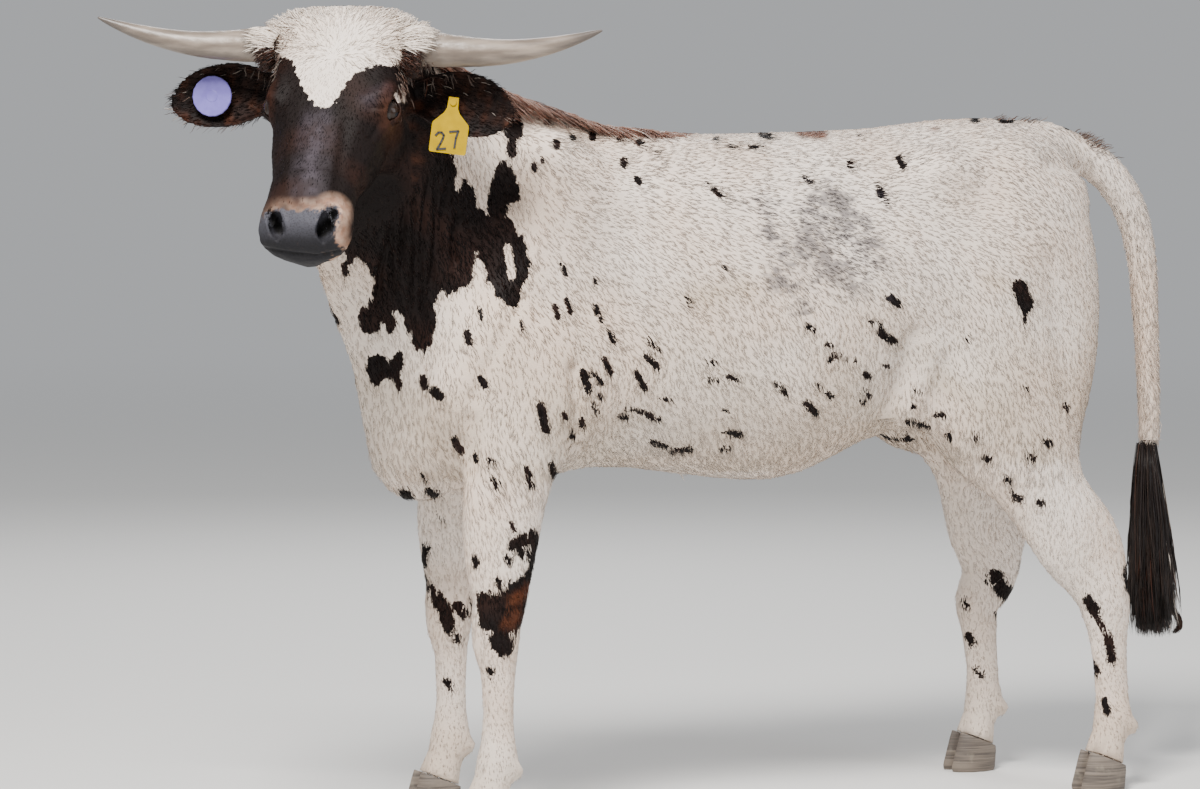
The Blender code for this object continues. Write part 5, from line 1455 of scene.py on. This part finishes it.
def make_hard_surfaces():
    """Eyes, horns and claws."""
    eye = Shading("eye surface", Roughness=0.12, Specular_IOR_Level=0.25,
                  Coat_Weight=0.3, Coat_Roughness=0.02, Coat_IOR=1.3)
    ring = eye.step(eye.attribute("iris"), 0.70, 0.80)
    ball = eye.mix(ring, IRIS, EYE_EDGE)
    eye.colour(eye.mix(eye.step(eye.attribute("pupil"), 0.92, 1.0), PUPIL, ball))

    horn = Shading("horn surface", Roughness=0.42, Specular_IOR_Level=0.5, Coat_Weight=0.15,
                   Coat_Roughness=0.35)
    along = horn.attribute("along")
    streaks = horn.noise(26.0, 4.0, (0.5, 0.5, 3.0))
    colour = horn.mix(horn.step(streaks, 0.3, 0.7), PALE_HORN, STREAKED_HORN)
    near_base = horn.step(along, 0.30, 0.0, 0.0, 0.8)
    rough_base = horn.sum("ADD", near_base, horn.step(streaks, 0.4, 0.7, 0.0, 0.2))
    colour = horn.mix(rough_base, colour, BASE_HORN)
    horn.colour(horn.mix(horn.step(along, 0.70, 0.95), colour, HORN_TIP))
    horn.bump(horn.noise(160.0, 4.0), 0.0009, 0.5)

    hoof = Shading("hoof surface", Roughness=0.55, Specular_IOR_Level=0.4)
    rings = hoof.noise(9.0, 3.0, (1.0, 1.0, 26.0))
    shade = hoof.mix(hoof.step(rings, 0.35, 0.65), DARK_HOOF, LIGHT_HOOF)
    worn = hoof.step(hoof.noise(40.0, 3.0), 0.55, 0.75, 0.0, 0.5)
    hoof.colour(hoof.mix(worn, shade, WORN_HOOF))
    hoof.bump(rings, 0.0016, 0.7)


def make_tag_surfaces():
    """The two tags and the ink."""
    yellow = Shading("yellow plastic", Roughness=0.50, Specular_IOR_Level=0.10)
    yellow.colour(yellow.mix(yellow.step(yellow.noise(60.0), 0.3, 0.7), YELLOW, DEEP_YELLOW))
    yellow.bump(yellow.noise(250.0), 0.0004, 0.3)
    lilac = Shading("lilac plastic", Roughness=0.40, Specular_IOR_Level=0.5)
    lilac.colour(lilac.mix(lilac.step(lilac.noise(70.0), 0.3, 0.7), LILAC, DEEP_LILAC))
    lilac.bump(lilac.noise(250.0), 0.0004, 0.3)
    ink = Shading("ink", Roughness=0.5)
    ink.colour(INK)


def make_floor_surface():
    """The pale floor, which fades into the air."""
    floor = Shading("studio floor", Roughness=0.9)
    floor.colour(FLOOR)
    floor.fade(4.0, 16.0, AIR)


# Stage

# Name, place, aim, size in metres, colour, share of the main lamp's power
LAMPS = (
    ("key", (-2.6, -2.9, 5.2), (-0.1, 0.1, 0.8), 1.8, (1.0, 0.97, 0.93), 1.0),
    ("fill", (3.2, -4.2, 2.4), (0.1, 0.1, 0.8), 3.0, (0.93, 0.96, 1.0), 0.12),
    ("back", (1.5, 4.0, 3.4), (0.0, 0.1, 0.9), 2.4, (1.0, 1.0, 1.0), 0.12),
)


def add_light(name, place, aim, size, colour, share, power):
    """A square lamp turned to its aim."""
    light = bpy.data.lights.new(name, "AREA")
    light.size = size
    light.energy = power * share
    light.color = colour
    lamp = linked(light, name)
    lamp.location = place
    lamp.rotation_euler = (Vector(aim) - Vector(place)).to_track_quat("-Z", "Y").to_euler()


def make_stage(settings):
    """The floor, the air, the lamps and the photo's camera."""
    bm = bmesh.new()
    bmesh.ops.create_grid(bm, x_segments=1, y_segments=1, size=300)
    mesh = mesh_from(bm, "studio_floor")
    cover(mesh, "studio floor")
    floor = linked(mesh, "studio_floor")
    world = bpy.data.worlds.new("studio air")
    world.use_nodes = True
    air = world.node_tree.nodes["Background"]
    air.inputs["Color"].default_value = (*settings.air_colour, 1)
    air.inputs["Strength"].default_value = settings.air_strength
    bpy.context.scene.world = world
    for lamp in LAMPS:
        add_light(*lamp, settings.key_power)
    camera = bpy.data.cameras.new("photo")
    camera.lens = settings.lens
    camera.sensor_width = SENSOR
    view = linked(camera, "photo")
    view.location = CAMERA_AT
    view.rotation_euler = (CAMERA_AIM - CAMERA_AT).to_track_quat("-Z", "Y").to_euler()
    bpy.context.scene.camera = view


# The add-on

class LonghornSettings(bpy.types.PropertyGroup):
    """What the panel offers."""

    skin_share: FloatProperty(
        name="Skin faces", description="Share of the fine skin's faces that are kept",
        default=0.19, min=0.05, max=1.0, subtype="FACTOR")
    smoothing: IntProperty(
        name="Smoothing", description="Rounds of smoothing over the whole skin",
        default=200, min=0, max=400)
    coat_depth: FloatProperty(
        name="Coat depth", description="How far the skin lies inside the solids",
        default=0.0035, min=0.0, max=0.01, unit="LENGTH")
    density: FloatProperty(
        name="Coat density", description="Scales the number of tufts and locks",
        default=1.0, min=0.05, max=1.5, subtype="FACTOR")
    key_power: FloatProperty(
        name="Key light", description="Power of the main lamp in watts",
        default=740.0, min=0.0, unit="POWER")
    air_strength: FloatProperty(
        name="Soft light", description="Strength of the light from all round",
        default=1.0, min=0.0)
    air_colour: FloatVectorProperty(
        name="Air", description="Colour of the light from all round",
        default=AIR, size=3, subtype="COLOR")
    lens: FloatProperty(
        name="Lens", description="Focal length of the camera in millimetres",
        default=LENS, min=10.0, unit="CAMERA")


class LONGHORN_OT_materials(bpy.types.Operator):
    """Make the materials that every piece uses"""

    bl_idname = "longhorn.materials"
    bl_label = "Materials"

    def execute(self, context):
        for make in (make_skin_surface, make_hair_surfaces, make_hard_surfaces, make_tag_surfaces,
                     make_floor_surface):
            make()
        return {"FINISHED"}


class LONGHORN_OT_skin(bpy.types.Operator):
    """Make the one skin over head, neck, trunk, legs and tail"""

    bl_idname = "longhorn.skin"
    bl_label = "Skin"

    def execute(self, context):
        skin = make_skin(context.scene.longhorn)
        cover(skin.data, "skin surface")
        return {"FINISHED"}


class LONGHORN_OT_short_coat(bpy.types.Operator):
    """Cover the skin with short tufts, one piece for each region"""

    bl_idname = "longhorn.short_coat"
    bl_label = "Short coat"

    def execute(self, context):
        if "skin" not in bpy.data.objects:
            raise RuntimeError("make the skin first")
        for seed, (name, area, number, length, width, lift) in enumerate(SHORT_COAT):
            short_tufts(name, area, number, length, width, lift, context.scene.longhorn, 100 + seed)
        return {"FINISHED"}


class LONGHORN_OT_long_hair(bpy.types.Operator):
    """Hang the long hair on the tail, the nape, the poll and the ears"""

    bl_idname = "longhorn.long_hair"
    bl_label = "Long hair"

    def execute(self, context):
        if "skin" not in bpy.data.objects:
            raise RuntimeError("make the skin first")
        for make in (make_switch, make_curl, make_nape, make_poll, make_collars, make_dark_tufts,
                     make_ear_hair, make_tail_fringe):
            make(context.scene.longhorn)
        return {"FINISHED"}


class LONGHORN_OT_eyes(bpy.types.Operator):
    """Make both eyes"""

    bl_idname = "longhorn.eyes"
    bl_label = "Eyes"

    def execute(self, context):
        make_eye("eye_left", 1)
        make_eye("eye_right", -1)
        return {"FINISHED"}


class LONGHORN_OT_horns(bpy.types.Operator):
    """Make both horns"""

    bl_idname = "longhorn.horns"
    bl_label = "Horns"

    def execute(self, context):
        for name in HORNS:
            make_horn(name)
        return {"FINISHED"}


class LONGHORN_OT_hooves(bpy.types.Operator):
    """Make the eight claws"""

    bl_idname = "longhorn.hooves"
    bl_label = "Hooves"

    def execute(self, context):
        for name in CLAWS:
            make_claw(name)
        return {"FINISHED"}


class LONGHORN_OT_tags(bpy.types.Operator):
    """Finish the two ear tags and raise the flag's digits"""

    bl_idname = "longhorn.tags"
    bl_label = "Ear tags"

    def execute(self, context):
        for name, surface in (("tag_flag", "yellow plastic"), ("tag_round", "lilac plastic")):
            cover(NODES[name].data, surface)
        make_number()
        return {"FINISHED"}


class LONGHORN_OT_stage(bpy.types.Operator):
    """Lay the floor and set the lights and the photo's camera"""

    bl_idname = "longhorn.stage"
    bl_label = "Stage"

    def execute(self, context):
        make_stage(context.scene.longhorn)
        return {"FINISHED"}


OPERATORS = (LONGHORN_OT_materials, LONGHORN_OT_skin, LONGHORN_OT_short_coat, LONGHORN_OT_long_hair,
             LONGHORN_OT_eyes, LONGHORN_OT_horns, LONGHORN_OT_hooves, LONGHORN_OT_tags,
             LONGHORN_OT_stage)


class LONGHORN_PT_panel(bpy.types.Panel):
    """Settings and steps of the longhorn"""

    bl_label = "Longhorn"
    bl_idname = "LONGHORN_PT_panel"
    bl_space_type = "VIEW_3D"
    bl_region_type = "UI"
    bl_category = "Longhorn"

    def draw(self, context):
        for name in LonghornSettings.__annotations__:
            self.layout.prop(context.scene.longhorn, name)
        for operator in OPERATORS:
            self.layout.operator(operator.bl_idname)


CLASSES = (LonghornSettings, *OPERATORS, LONGHORN_PT_panel)


def register():
    for one in CLASSES:
        bpy.utils.register_class(one)
    bpy.types.Scene.longhorn = PointerProperty(type=LonghornSettings)


def unregister():
    del bpy.types.Scene.longhorn
    for one in reversed(CLASSES):
        bpy.utils.unregister_class(one)


def main():
    """Makes every piece in order."""
    register()
    bpy.ops.longhorn.materials()
    bpy.ops.longhorn.skin()
    bpy.ops.longhorn.short_coat()
    bpy.ops.longhorn.long_hair()
    bpy.ops.longhorn.eyes()
    bpy.ops.longhorn.horns()
    bpy.ops.longhorn.hooves()
    bpy.ops.longhorn.tags()
    bpy.ops.longhorn.stage()


if __name__ == "__main__":
    main()
